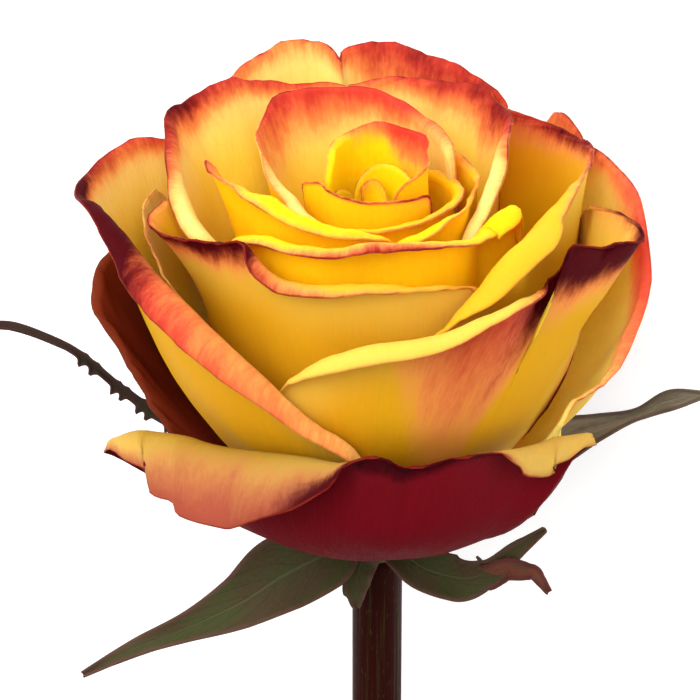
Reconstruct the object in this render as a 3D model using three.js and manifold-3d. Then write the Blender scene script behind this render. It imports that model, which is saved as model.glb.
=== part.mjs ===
import * as THREE from 'three';
import Module from 'manifold-3d';

// A cut rose lying on a table, in millimetres, +Z up.
// The bloom points along +X, the cut end of the stem along -X.
// Shapes are first given in the bloom's own frame: its axis is +Z, the front of the bloom
// (the side that faces up once the rose lies down) is -Y, and the petals spring from z = 0.

// Driving dimensions
const BLADE = 0.6;
const GAP = 0.3;
const BLOOM_TILT = 7.6;
const AXIS_HEIGHT = 37.5;
const SEAT_TOP = 9;
const SEAT_SLOPE = 5;
const SEAT_NECK = 1.2;
const HIP_DEPTH = 7;
const HIP_RADIUS = 6.2;
const STEM_RADIUS = 3.9;
const STEM_REACH = 262;
const STEM_SIDES = 10;

// Petals: the usual cup (height where it is full, how fast it fills), the usual flare
// (where it starts, how sharp), how a petal fans out and rises from its claw
const CUP_SHAPE = [40, 0.8];
const CUP_FLARE = [0.45, 2];
const FAN = 1.8;
const RISE = 1.5;
const CLAW_ROWS = [0, 0.22, 0.5, 0.78, 1];
const LATE_ROWS = [0, 0.22, 0.5, 0.72, 0.88, 1];
const SHORT_LIP_ROWS = [0.5, 1];
const LONG_LIP_ROWS = [0.35, 0.7, 1];
const LONG_LIP = 4;
const LIP_PARTS = 16;
const CORE_SWELL = 8;
const CORE_COLUMNS = 7;
const FEWEST_COLUMNS = 9;
const MOST_COLUMNS = 15;
const PALE_FROM_SWELL = 20;
const CRIMSON_PETAL = 'petal_22_front_guard';

// Hip and sepals
const HIP_SIDES = 16;
const HIP_SHOULDER = 3.4;
const HIP_RIM = 1.2;
const SEAT_MARGIN = 0.6;
const SEAT_TIP = 0.8;
const SEPAL_STATIONS = 14;
const FORK_STATIONS = 7;
const SPIKE_REACH = 2.4;
const SEPAL_HOLLOW = 0.35;

// Stem, prickles and leaves
const STEM_STATIONS = 18;
const NECK_EASE = 0.42;
const TAIL_EASE = 0.36;
const PRICKLES = [0.12, 0.2, 0.27, 0.42, 0.5, 0.63, 0.7, 0.84, 0.9];
const PRICKLE_LENGTH = 5.2;
const PRICKLE_RADII = [2.6, 1.9, 1.0, 0.25];
const PRICKLE_SPREAD = [0.7, 1];
const PRICKLE_SIDES = 6;
const PRICKLE_ROOT = 0.4;
const PRICKLE_LEAN = 0.35;
const PRICKLE_FIRST = 35;
const PRICKLE_TURN = 110;
const PRICKLE_STRAY = 17;
const STALK_RADIUS = 1.0;
const STALK_SIDES = 5;
const STALK_STATIONS = 6;
const STALK_FOOT = 1.5;
const STALK_TAPER = 0.7;
const STALK_LIFT = 0.6;
const STALK_BOW = 0.45;
const LEAF_SWEEP = 38;
const LEAFLET_WIDTH = 0.6;
const LEAFLET_STATIONS = 10;
const LEAFLET_SPREAD = 62;
const LEAFLET_FIRST = 0.88;
const LEAFLET_SPACING = 0.4;
const SIDE_LEAFLET = 0.86;
const LEAFLET_SHRINK = 0.12;
const LEAFLET_ROOT = 0.97;
const LEAFLET_SINK = 0.4;
const TIP_DROOP = 0.16;
const SIDE_DROOP = 0.12;
const DROOP_TURN = 1.8;
const TOOTH_OUT = 1.1;
const TOOTH_IN = 0.97;
const LEAFLET_CUP = 0.22;
const LEAFLET_WAVE = 0.5;
const LEAFLET_WAVES = 16;

// Blades near the table are pressed flat within the band, and every piece is trimmed clear
// of its neighbours by shells of these thicknesses, in gaps
const PRESS_BAND = 0.4;
const SMOOTHING = 0.1;
const SHELLS = [2, 1.2, 0.5];

// Colours seen on the flower
const YELLOW = 0xf6c21a;
const PALE = 0xe8cf6a;
const CRIMSON = 0x6b0a18;
const SEPAL_GREEN = 0x46582f;
const LEAF_GREEN = 0x2f4d26;
const STEM_MAROON = 0x3a1a1b;

// Petals, from the heart outwards. Each grows from a claw on the seat and swells into a cup:
//   level  place of the claw on the seat, 0 at its top and 1 at its foot
//   swell  radius of the cup that the petal follows
//   face   azimuth of the claw's middle, hold the half width of the claw, in degrees
//   rim    points along the petal's edge: azimuth, radius, height, then the length of the
//          rolled lip beyond the edge and how far the lip bends outwards, in degrees
//   shape  height at which the cup is full, and how fast it fills
//   flare  where the petal starts to leave the cup for its rim, and how sharply
//   curl   how early along the lip it bends
//   swing  given for a petal that turns to its rim late, how late
const PETALS = [
  { name: 'petal_01_core', level: 0.0, swell: 1.9, face: 100, hold: 60,
    rim: [
      [10, 1.8, 30, 0.5, 20], [40, 2, 52, 0.5, 20], [110, 2.4, 57.5, 0.5, 20], [170, 2.4, 57, 0.5, 20],
      [215, 2, 52, 0.5, 20], [240, 1.8, 30, 0.5, 20],
    ] },
  { name: 'petal_02_core', level: 0.042, swell: 3.1, face: 250, hold: 55,
    rim: [
      [165, 3, 30, 0.6, 30], [190, 3.4, 52, 0.6, 30], [240, 3.8, 55.5, 0.6, 30], [290, 4, 56, 0.6, 30],
      [330, 3.8, 54, 0.6, 30], [355, 3.2, 32, 0.6, 30],
    ] },
  { name: 'petal_03_core', level: 0.083, swell: 4.3, face: 60, hold: 55,
    rim: [
      [-30, 4.2, 30, 0.8, 40], [-18, 4.4, 53, 0.8, 40], [30, 5, 57.5, 0.8, 40], [80, 5, 58.2, 0.8, 40],
      [130, 4.8, 55, 0.8, 40], [150, 4.2, 32, 0.8, 40],
    ] },
  { name: 'petal_04_core', level: 0.125, swell: 5.6, face: 200, hold: 50,
    rim: [
      [110, 5.4, 32, 0.8, 40], [130, 5.6, 53, 0.8, 40], [175, 6, 56, 0.8, 40], [225, 6.2, 56.5, 0.8, 40],
      [270, 6, 55, 0.8, 40], [290, 5.6, 32, 0.8, 40],
    ] },
  { name: 'petal_05_inner_cup', level: 0.167, swell: 7.2, face: 50, hold: 50,
    rim: [
      [-84, 8, 42, 1, 40], [-75, 8.5, 60.5, 1, 40], [-54, 8.3, 63, 1, 40], [6, 6.9, 62.2, 1, 30],
      [32, 8.1, 63.1, 1, 30], [61.5, 7.9, 62.8, 1, 40], [90.5, 8, 63.4, 1, 40],
      [126.5, 7.6, 62.3, 1.2, 60], [176, 6.5, 62.8, 1.5, 90], [200, 7.8, 57, 1, 60], [215, 7.2, 34, 1, 40],
    ] },
  { name: 'petal_06_inner_front', level: 0.208, swell: 8.8, face: 265, hold: 45,
    rim: [
      [162, 9.3, 38, 0.8, 40], [182, 10.8, 58.2, 0.8, 40], [205, 8.9, 60.2, 0.8, 40],
      [225.5, 9.2, 60.3, 0.8, 40], [245.5, 9.7, 60.7, 0.8, 40], [275, 10, 60.9, 0.8, 40],
      [317, 9.5, 59.9, 0.8, 40], [335, 9.4, 40, 0.8, 40],
    ] },
  { name: 'petal_07_inner_right', level: 0.25, swell: 10.6, face: -40, hold: 42,
    rim: [
      [-122, 11.3, 36, 1, 60], [-108.5, 11.5, 56.4, 2, 90], [-82.5, 11.5, 57.4, 2.2, 110],
      [-51.5, 11.3, 57.8, 2.2, 110], [-28, 11.3, 57.7, 2.2, 110], [2, 10.9, 56.6, 2.2, 110],
      [22, 10.1, 56.1, 2.2, 110], [46, 9.2, 55.3, 1.8, 110], [48, 10.6, 36, 1, 60],
    ] },
  { name: 'petal_08_inner_back', level: 0.292, swell: 12.8, face: 100, hold: 50,
    flare: [0.4, 2],
    rim: [
      [8, 12.6, 36, 1, 60], [22, 10.8, 61, 1.6, 100], [58.5, 13.9, 60.2, 2.2, 110],
      [81.5, 17.6, 61.3, 1.5, 80], [93.5, 20.7, 62, 0.8, 40], [107, 21.7, 62.1, 0.8, 40],
      [120, 22.9, 62.2, 0.8, 40], [128, 24.2, 61.8, 0.8, 40], [139, 22.2, 60.5, 0.8, 40],
      [160, 18.6, 61.2, 0.8, 40], [168, 16.8, 59.9, 1.2, 70], [184, 14.4, 58.7, 2.5, 110],
      [203, 12.3, 57, 3, 130], [239.5, 12.7, 56.2, 3, 130], [238, 13.4, 36, 2, 90],
    ] },
  { name: 'petal_09_mid_right', level: 0.333, swell: 14.6, face: -25, hold: 40,
    rim: [
      [-108, 14.8, 36, 1, 60], [-79, 14.9, 56.6, 3.5, 120], [-62, 14.7, 57.9, 3.5, 120],
      [-41.5, 15.3, 59.3, 1.5, 80], [-12, 13.7, 57.9, 1.2, 60], [8, 14.5, 57.5, 1.2, 60],
      [31, 13.6, 57.8, 1.5, 80], [56, 14.5, 57.1, 1.2, 80], [56, 14.8, 36, 1, 60],
    ] },
  { name: 'petal_10_mid_left', level: 0.375, swell: 17, face: 222, hold: 42,
    flare: [0.5, 2],
    rim: [
      [150, 17.4, 36, 2, 90], [178, 24.7, 60.8, 2.5, 80], [193, 19.8, 59.6, 4.5, 125],
      [214.5, 17.7, 61, 4.5, 150], [231.5, 17.5, 60.5, 4, 150], [254.5, 17.8, 60.5, 3.5, 140],
      [272.5, 18, 59.7, 3, 120], [290, 17.8, 36, 1, 60],
    ] },
  { name: 'petal_11_back_right', level: 0.458, swell: 18.6, face: 40, hold: 42,
    rim: [
      [-50, 18.6, 40, 1.5, 60], [-42, 16.2, 54.4, 3, 120], [-22, 15.4, 57, 3.6, 125],
      [2, 16.4, 59.4, 3.6, 120], [20, 19, 61.2, 2.2, 80], [51.5, 28.2, 58.4, 1, 40],
      [58, 28.9, 59.9, 1.2, 60], [71, 27.9, 59.4, 1.2, 60], [83, 27.1, 60.1, 1, 50],
      [90.5, 26.6, 59.8, 1, 50], [102.5, 24.6, 59.6, 1, 50], [120, 19.8, 36, 1, 50],
    ] },
  { name: 'petal_12_mid_front', level: 0.417, swell: 20.8, face: -102, hold: 42,
    flare: [0.5, 2],
    rim: [
      [-170, 21, 34, 1, 80], [-150.5, 22, 55, 3.5, 140], [-129, 22.1, 58.8, 3.5, 150],
      [-112.5, 21.6, 59, 3.5, 140], [-91.5, 19.6, 58.9, 5, 120], [-70, 20.7, 59.6, 3.5, 120],
      [-55.5, 21.2, 58.7, 3, 120], [-38, 18.1, 55.8, 6, 150], [-29, 19.1, 57.4, 6.5, 150],
      [-22, 20.2, 58.1, 4.5, 140], [-16, 21.5, 48, 0.8, 60], [-14, 20.6, 34, 0.8, 40],
    ] },
  { name: 'petal_13_back_left', level: 0.5, swell: 22.4, face: 150, hold: 45,
    rim: [
      [84, 22.4, 36, 1, 50], [102, 27.1, 59.1, 1, 50], [114, 28.6, 59.3, 1, 50],
      [125.5, 30.5, 60.7, 1, 60], [133, 31.2, 61.9, 1.4, 70], [140, 33.2, 61.2, 1.4, 70],
      [145.5, 34.7, 59.9, 1, 40], [150, 34.8, 60.2, 1.5, 60], [159.5, 32, 58.5, 2, 80],
      [174, 29.3, 57.8, 2.5, 90], [187, 27.4, 55.8, 4, 120], [199, 26, 54.4, 4.5, 130],
      [206, 24, 50.7, 3.5, 120], [222, 22.6, 34, 1, 60],
    ] },
  { name: 'petal_14_front', level: 0.542, swell: 24.6, face: -98, hold: 44,
    flare: [0.5, 3.5],
    rim: [
      [-166, 25.2, 36, 1, 60], [-179, 28.5, 55.2, 1.2, 60], [-175, 30.9, 56.3, 1, 60],
      [-170, 33.6, 55.7, 0.8, 50], [-165, 32.6, 54.9, 0.8, 50], [-158, 30.7, 56, 0.8, 50],
      [-150, 28.4, 56.9, 0.8, 50], [-139, 26.1, 58.4, 1.2, 60], [-130, 25.5, 55.8, 4, 150],
      [-122, 24.7, 54, 4.5, 155], [-106.5, 24.3, 54.7, 4.5, 155], [-93, 24.1, 55.5, 4.5, 155],
      [-73, 24.7, 55.1, 3.5, 150], [-56, 25.4, 53, 2, 120], [-46, 25.4, 34, 1, 60],
    ] },
  { name: 'petal_15_back', level: 0.583, swell: 26.8, face: 98, hold: 48,
    flare: [0.5, 2],
    rim: [
      [50, 28.5, 38, 1, 50], [51.5, 30.4, 56.6, 1.2, 60], [60.5, 31.9, 58.6, 1.2, 60],
      [69.5, 32.4, 60.2, 1.2, 60], [79.5, 33.9, 60.6, 1.2, 60], [88, 34.9, 61.6, 1.2, 60],
      [91.5, 34.4, 61.6, 1.2, 60], [98.5, 33.1, 61.5, 1, 50], [100, 31.7, 60.2, 1, 30],
      [102.5, 34.1, 61.5, 1, 50], [106, 35.9, 62, 1.2, 60], [112, 36.4, 62.2, 1.2, 60],
      [120.5, 35.9, 61, 1.2, 60], [129, 34.9, 59.5, 1.2, 60], [150, 31, 38, 1, 50],
    ] },
  { name: 'petal_16_right', level: 0.625, swell: 28.6, face: 5, hold: 46,
    rim: [
      [-108, 27.8, 34, 1, 60], [-72, 27.1, 48.2, 2, 90], [-64.5, 26.6, 50.8, 4.5, 130],
      [-58, 26.3, 52.7, 6.5, 150], [-49.5, 25.9, 54.9, 8, 150], [-41.5, 25.9, 56.2, 8.5, 140],
      [-26, 24.5, 55.2, 8, 120], [-10, 26.7, 57.2, 5, 90], [4, 30, 58.2, 2, 50], [13, 32.1, 57.9, 1, 50],
      [23, 33.9, 56.6, 1, 50], [33, 35.1, 54.3, 1, 50], [44, 35.6, 53.3, 1, 50], [49.5, 34.9, 53, 1.2, 60],
      [54.5, 33.9, 53.8, 1.2, 60], [68, 30.5, 38, 1, 50],
    ] },
  { name: 'petal_17_left', level: 0.667, swell: 28.3, face: 190, hold: 38,
    flare: [0.5, 2],
    rim: [
      [155, 31, 38, 0.6, 20], [166, 34, 52, 0.6, 20], [180, 34.5, 53, 0.6, 20], [200, 33, 49, 0.6, 20],
      [220, 31, 44, 0.6, 20], [236, 28.8, 34, 0.6, 20],
    ] },
  { name: 'petal_18_front_right', level: 0.708, swell: 30.6, face: -75, hold: 35,
    flare: [0.45, 5], swing: 4,
    rim: [
      [-128, 27.4, 20, 1, 60], [-116.5, 30, 39.3, 2, 120], [-111, 30, 42.6, 3.5, 140],
      [-101, 29.9, 46.1, 6, 160], [-90, 30, 48.5, 6.5, 165], [-77.5, 30.4, 49.7, 6, 160],
      [-67, 30.7, 51.2, 5, 150], [-58.5, 31.4, 52.7, 3.5, 140], [-51, 31.8, 53.5, 2.5, 120],
      [-34, 28.7, 50.2, 1.2, 80], [-29, 30.4, 52.5, 0.8, 50], [-25, 30.9, 55.3, 0.6, 40],
      [-18, 34, 53.7, 0.6, 40], [-13, 36.1, 53, 0.6, 40], [-7, 38.9, 51.7, 0.6, 40],
      [-2, 38.1, 51.8, 0.8, 50], [3, 35.7, 51.6, 1, 60], [9, 31.9, 51.1, 1, 60], [14, 30, 42, 0.8, 40],
    ] },
  { name: 'petal_19_outer_left', level: 0.75, swell: 32.2, face: 195, hold: 46,
    rim: [
      [132, 33, 36, 1, 50], [152, 35.3, 55.2, 1.2, 50], [159, 39.1, 56.5, 1.2, 50],
      [170, 42.3, 56, 1.2, 50], [180, 43.7, 56.7, 1.2, 70], [188, 41.1, 57.6, 2.5, 110],
      [196, 37.8, 55, 5, 130], [205, 35, 50.9, 8, 150], [218.5, 33.2, 47.6, 9, 160],
      [233.5, 32.4, 43.3, 8.5, 160], [249.5, 31.7, 37.1, 6, 150], [265.5, 30.6, 29, 3, 120],
      [252, 31, 15, 1, 60],
    ] },
  { name: 'petal_20_outer_right', level: 0.792, swell: 33.8, face: 0, hold: 44,
    flare: [0.4, 2],
    rim: [
      [-34, 33.4, 20, 1, 50], [-44, 33.5, 28.6, 1, 60], [-27, 32.1, 29.4, 1.2, 60],
      [-19, 35, 31.2, 1.5, 60], [-10, 37, 36.1, 2.5, 70], [-2, 39.1, 42.7, 2, 60],
      [10, 38.9, 50.7, 1.2, 50], [22, 36.8, 53.3, 1.2, 50], [30, 36.6, 52.8, 1.2, 50],
      [42, 34.5, 38, 1, 50],
    ] },
  { name: 'petal_21_far_left', level: 0.833, swell: 34.6, face: 172, hold: 44,
    flare: [0.4, 2],
    rim: [
      [128, 34.8, 34, 1, 50], [145, 37.5, 42, 1.2, 60], [158, 39, 45, 1.2, 60], [169, 39.4, 42.4, 1.2, 60],
      [175, 40.9, 41.2, 1.5, 60], [180, 41.2, 37.6, 2, 60], [186, 37.8, 32, 1.5, 60],
      [192, 34, 24.4, 1.2, 60], [196, 31.8, 19.8, 1, 50], [200, 32, 14, 1, 50],
    ] },
  { name: 'petal_22_front_guard', level: 0.875, swell: 34.6, face: -98, hold: 44,
    shape: [22, 0.66], flare: [0.5, 2], curl: 2.5, swing: 2,
    rim: [
      [-155, 33, 14, 1, 60], [-156, 42.3, 24.3, 1.5, 60], [-149.5, 37.4, 25.6, 12, 150],
      [-139, 33.3, 25.7, 18, 155], [-120, 32.2, 27.2, 18.5, 155], [-108, 33.2, 29.7, 12.5, 150],
      [-98, 34.1, 30.8, 5, 120], [-91, 35.8, 33.9, 0.8, 30], [-83, 35.2, 31, 1, 30],
      [-72.5, 35.3, 32.1, 0.8, 30], [-63.5, 34.4, 31.1, 1.2, 60], [-53.5, 33.3, 28.9, 6, 160],
      [-43.5, 33.2, 27.5, 8, 165], [-37, 35.7, 27.6, 6.5, 160], [-43, 35.5, 26, 4, 140],
      [-50, 30, 14, 0.8, 50],
    ] },
  { name: 'petal_23_guard_back_left', level: 0.917, swell: 35.4, face: 128, hold: 44,
    shape: [30, 0.75],
    rim: [
      [78, 35.4, 14, 1, 50], [88, 36.6, 36, 2, 80], [105, 38.5, 46, 3, 90], [125, 40, 48, 3, 90],
      [145, 39.5, 44, 3, 90], [158, 37.5, 34, 2, 80], [165, 35.4, 14, 1, 50],
    ] },
  { name: 'petal_24_guard_back_right', level: 0.958, swell: 36.6, face: 52, hold: 42,
    shape: [30, 0.75],
    rim: [
      [24, 37, 16, 1, 50], [33, 40, 40, 2, 80], [47.5, 41.2, 51.8, 1, 40], [55, 41.5, 46, 3, 90],
      [68, 41.2, 43, 3, 90], [82, 39.2, 34, 2, 80], [90, 36.6, 14, 1, 50],
    ] },
  { name: 'petal_25_guard_back', level: 1.0, swell: 38, face: 92, hold: 40,
    shape: [22, 0.72],
    rim: [
      [45, 38, 8, 1, 50], [55, 40, 22, 3, 80], [72, 41.5, 33, 5, 100], [92, 42, 36, 5, 110],
      [110, 41.5, 33, 5, 100], [128, 40, 22, 3, 80], [140, 38, 8, 1, 50],
    ] },
];

// Sepals in the bloom's frame: the midline, half widths along it, and the up side of the blade
const SEPALS = [
  { name: 'sepal_left_thin', spikes: [0.48, 0.56, 0.64, 0.72, 0.8], up: [-0.3, -0.6, 0.75],
    line: [[-5.6, 2, -2.4], [-15, 7, 0.5], [-25, 12, 5], [-33, 14.5, 7.5], [-39, 16, 11.5],
      [-48, 18, 18.5], [-57, 19, 21.6], [-62, 19.5, 21]],
    half: [2.4, 3.0, 1.9, 1.1, 0.8, 0.8, 0.9, 0.4] },
  { name: 'sepal_left_broad', spikes: [], up: [-0.2, -0.75, 0.6],
    line: [[-4.4, -4, -2.6], [-9, -7.5, -3.4], [-14, -9.6, -5], [-21, -12, -8.7], [-30, -13, -13],
      [-37.5, -13, -16.6], [-45, -12, -22]],
    half: [2.8, 5.6, 5.8, 4.0, 2.0, 1.2, 0.4] },
  { name: 'sepal_right_leafy', spikes: [], up: [0.1, -0.75, 0.65],
    line: [[5.8, 1.6, -2.4], [14, 5, 0], [21, 7.5, 3.6], [28, 8.6, 7.2], [34, 9.2, 9.4],
      [40, 9.8, 11.4], [45, 10, 13.8], [50, 10, 14.8]],
    half: [2.8, 4.4, 4.6, 3.6, 2.0, 0.9, 1.5, 0.5] },
  { name: 'sepal_right_forked', spikes: [0.62], up: [0.2, -0.8, 0.5],
    line: [[2.6, -5.4, -2.8], [7, -10, -3.6], [12, -13, -3.2], [16.5, -15, -0.6], [20.5, -15.6, 3.6],
      [25, -15.2, 7.4]],
    half: [2.6, 3.2, 3.4, 2.2, 1.3, 0.4],
    fork: { line: [[16.5, -15, -1.4], [20, -17, -0.8], [23, -18, -1.6], [25.6, -18.4, -4.6]],
      half: [2.0, 1.6, 1.1, 0.4] } },
  { name: 'sepal_front_short', spikes: [], up: [-0.2, -0.95, 0.2],
    line: [[-1.6, -6.0, -2.8], [-2.8, -8.2, -5.4], [-3.4, -9.2, -8.4], [-3.2, -9.0, -11.2]],
    half: [2.4, 2.2, 1.6, 0.5] },
];

// Leaves in the lying frame: where along the stem (0 to 1), side and rise of the stalk, its length,
// and the leaflets as pairs below the end leaflet
const LEAVES = [
  { name: 'leaf_upper', at: 0.36, side: 1, rise: 16, length: 52, pairs: 1, leaflet: 36 },
  { name: 'leaf_middle', at: 0.56, side: -1, rise: 12, length: 74, pairs: 2, leaflet: 38 },
  { name: 'leaf_lower', at: 0.76, side: 1, rise: 8, length: 70, pairs: 2, leaflet: 34 },
];

const wasm = await Module();
wasm.setup();
const rad = THREE.MathUtils.degToRad;
const vec = (p) => new THREE.Vector3(p[0], p[1], p[2]);

// Monotone cubic curve through values at rising knots
function slopesOf(knots, values) {
  const n = knots.length;
  const h = [];
  const d = [];
  for (let i = 0; i < n - 1; i++) {
    h.push(knots[i + 1] - knots[i]);
    d.push((values[i + 1] - values[i]) / h[i]);
  }
  const m = new Array(n).fill(0);
  m[0] = d[0];
  m[n - 1] = d[n - 2];
  for (let i = 1; i < n - 1; i++) {
    if (d[i - 1] * d[i] > 0) {
      const a = 2 * h[i] + h[i - 1];
      const b = h[i] + 2 * h[i - 1];
      m[i] = (a + b) / (a / d[i - 1] + b / d[i]);
    }
  }
  return m;
}

function curveThrough(knots, values) {
  const m = slopesOf(knots, values);
  return (t) => {
    let i = 0;
    while (i < knots.length - 2 && t > knots[i + 1]) i++;
    const h = knots[i + 1] - knots[i];
    const s = THREE.MathUtils.clamp((t - knots[i]) / h, 0, 1);
    const a = (1 + 2 * s) * (1 - s) * (1 - s) * values[i] + s * (1 - s) * (1 - s) * h * m[i];
    return a + s * s * (3 - 2 * s) * values[i + 1] + s * s * (s - 1) * h * m[i + 1];
  };
}

function knotsAlong(points) {
  const knots = [0];
  for (let i = 1; i < points.length; i++) {
    knots.push(knots[i - 1] + Math.sqrt(points[i].distanceTo(points[i - 1])));
  }
  return knots.map((k) => k / knots[knots.length - 1]);
}

function polar(azimuth, radius, height) {
  return new THREE.Vector3(radius * Math.cos(rad(azimuth)), radius * Math.sin(rad(azimuth)), height);
}

// The blade of one petal: a point for u along the rim and v from claw to rim
function petalBlade(petal) {
  const [full, power] = petal.shape ?? CUP_SHAPE;
  const [start, sharp] = petal.flare ?? CUP_FLARE;
  const seatHeight = SEAT_TOP * (1 - petal.level);
  const seatRadius = SEAT_NECK + SEAT_SLOPE * petal.level;
  const knots = knotsAlong(petal.rim.map((r) => polar(r[0], r[1], r[2])));
  const column = (i) => curveThrough(knots, petal.rim.map((r) => r[i]));
  const [azimuth, radius, height, lip, bend] = [0, 1, 2, 3, 4].map(column);
  const cup = (z) => {
    const t = THREE.MathUtils.clamp((z - seatHeight) / (full - seatHeight), 0, 1);
    return seatRadius + (petal.swell - seatRadius) * Math.sin(t * Math.PI / 2) ** power;
  };
  const at = (u, v) => {
    const top = height(u);
    const foot = petal.face + petal.hold * (2 * u - 1);
    const turned = petal.swing ? v ** petal.swing : 1 - (1 - v) ** FAN;
    const turn = foot + (azimuth(u) - foot) * turned;
    const z = seatHeight + (top - seatHeight) * v ** RISE;
    const leave = THREE.MathUtils.clamp((v - start) / (1 - start), 0, 1) ** sharp;
    return polar(turn, cup(z) + (radius(u) - cup(top)) * leave, z);
  };
  return { at, lip, bend, curl: petal.curl ?? 1 };
}

// Grid of points over a petal: rows from the claw to the rim, then over the rolled lip
function petalGrid(petal, columns, rows, lipRows) {
  const blade = petalBlade(petal);
  const grid = rows.map((v) => columns.map((u) => blade.at(u, v)));
  const step = 0.002;
  const frames = columns.map((u) => {
    const edge = blade.at(u, 1);
    const rise = edge.clone().sub(blade.at(u, 1 - step)).normalize();
    const along = blade.at(Math.min(u + step, 1), 1).sub(blade.at(Math.max(u - step, 0), 1));
    const out = along.cross(rise).normalize();
    return { edge, rise, out };
  });
  for (const w of lipRows) {
    grid.push(columns.map((u, i) => {
      const { edge, rise, out } = frames[i];
      const length = blade.lip(u);
      const bend = rad(blade.bend(u));
      const point = edge.clone();
      for (let k = 0; k < LIP_PARTS; k++) {
        const angle = bend * (1 - (1 - w * (k + 0.5) / LIP_PARTS) ** blade.curl);
        point.addScaledVector(rise, length * w * Math.cos(angle) / LIP_PARTS);
        point.addScaledVector(out, length * w * Math.sin(angle) / LIP_PARTS);
      }
      return point;
    }));
  }
  return grid;
}

// Lays the rose down: the bloom's axis turns to +X and its front faces up
const laying = new THREE.Matrix4().makeBasis(
  new THREE.Vector3(0, -1, 0), new THREE.Vector3(0, 0, -1), new THREE.Vector3(1, 0, 0));
laying.premultiply(new THREE.Matrix4().makeRotationY(-rad(BLOOM_TILT)));
laying.premultiply(new THREE.Matrix4().makeTranslation(0, 0, AXIS_HEIGHT));
const lay = (point) => point.clone().applyMatrix4(laying);
const layAll = (grid) => grid.map((row) => row.map(lay));

// A closed blade from a grid of points, its faces half a thickness to each side of them.
// Where it meets the table it is pressed flat.
function bladeSolid(grid, thickness, press = true) {
  const rows = grid.length;
  const columns = grid[0].length;
  const half = thickness / 2;
  const lower = [];
  const upper = [];
  for (let r = 0; r < rows; r++) {
    for (let c = 0; c < columns; c++) {
      const along = grid[r][Math.min(c + 1, columns - 1)].clone().sub(grid[r][Math.max(c - 1, 0)]);
      const across = grid[Math.min(r + 1, rows - 1)][c].clone().sub(grid[Math.max(r - 1, 0)][c]);
      const normal = along.cross(across).normalize().multiplyScalar(half);
      const a = grid[r][c].clone().add(normal);
      const b = grid[r][c].clone().sub(normal);
      const lowest = Math.min(a.z, b.z);
      if (press && lowest < PRESS_BAND) {
        const floor = (BLADE - thickness) / 2;
        if (Math.abs(a.z - b.z) < half) {
          a.z = Math.max(a.z, floor);
          b.z = Math.max(b.z, floor);
        } else {
          const lift = floor - lowest;
          a.z += lift;
          b.z += lift;
        }
      }
      upper.push(a);
      lower.push(b);
    }
  }
  const points = [...upper, ...lower];
  const n = rows * columns;
  const faces = [];
  for (let r = 0; r < rows - 1; r++) {
    for (let c = 0; c < columns - 1; c++) {
      const i = r * columns + c;
      const cell = (r + c) % 2 === 0
        ? [[i, i + 1, i + columns + 1], [i, i + columns + 1, i + columns]]
        : [[i, i + 1, i + columns], [i + 1, i + columns + 1, i + columns]];
      for (const [p, q, s] of cell) {
        faces.push([p, q, s], [p + n, s + n, q + n]);
      }
    }
  }
  const edge = [];
  for (let c = 0; c < columns; c++) edge.push(c);
  for (let r = 1; r < rows; r++) edge.push(r * columns + columns - 1);
  for (let c = columns - 2; c >= 0; c--) edge.push((rows - 1) * columns + c);
  for (let r = rows - 2; r > 0; r--) edge.push(r * columns);
  edge.forEach((p, i) => {
    const q = edge[(i + 1) % edge.length];
    faces.push([p, p + n, q], [q, p + n, q + n]);
  });
  return solidOf(points, faces);
}

// The same grid reaching further out past all four edges
function widened(grid, reach) {
  const last = grid.length - 1;
  const end = grid[0].length - 1;
  const past = (point, inner) => point.clone().add(point.clone().sub(inner).setLength(reach));
  const wide = grid.map((row) => row.map((point) => point.clone()));
  for (let c = 0; c <= end; c++) {
    wide[0][c] = past(grid[0][c], grid[1][c]);
    wide[last][c] = past(grid[last][c], grid[last - 1][c]);
  }
  for (let r = 0; r <= last; r++) {
    wide[r][0].copy(past(wide[r][0], wide[r][1]));
    wide[r][end].copy(past(wide[r][end], wide[r][end - 1]));
  }
  return wide;
}

// A tube of rings around a line of points, with closed ends
function tubeSolid(line, radii, sides, spread = [1, 1]) {
  const points = [];
  const faces = [];
  const up = new THREE.Vector3(0, 0, 1);
  line.forEach((centre, i) => {
    const before = line[Math.max(i - 1, 0)];
    const ahead = line[Math.min(i + 1, line.length - 1)].clone().sub(before).normalize();
    const side = up.clone().cross(ahead).normalize();
    const top = ahead.clone().cross(side).normalize();
    for (let k = 0; k < sides; k++) {
      const angle = 2 * Math.PI * (k + 0.5) / sides - Math.PI / 2;
      const offset = side.clone().multiplyScalar(Math.cos(angle) * radii[i] * spread[0]);
      points.push(centre.clone().add(offset).addScaledVector(top, Math.sin(angle) * radii[i] * spread[1]));
    }
  });
  for (let i = 0; i < line.length - 1; i++) {
    for (let k = 0; k < sides; k++) {
      const a = i * sides + k;
      const b = i * sides + (k + 1) % sides;
      faces.push([a, b, b + sides], [a, b + sides, a + sides]);
    }
  }
  const last = (line.length - 1) * sides;
  for (let k = 1; k < sides - 1; k++) {
    faces.push([0, k + 1, k], [last, last + k, last + k + 1]);
  }
  return solidOf(points, faces);
}

function solidOf(points, faces) {
  const vertProperties = new Float32Array(points.length * 3);
  points.forEach((p, i) => vertProperties.set([p.x, p.y, p.z], i * 3));
  const make = (list) => new wasm.Manifold(
    new wasm.Mesh({ numProp: 3, vertProperties, triVerts: new Uint32Array(list.flat()) }));
  const solid = make(faces);
  return solid.volume() > 0 ? solid : make(faces.map(([a, b, c]) => [a, c, b]));
}

function largest(solid) {
  return solid.decompose().reduce((a, b) => (b.volume() > a.volume() ? b : a));
}

// Keeps the largest body of a solid, without slivers
function mainBody(solid) {
  return largest(largest(solid).simplify(SMOOTHING));
}

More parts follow.
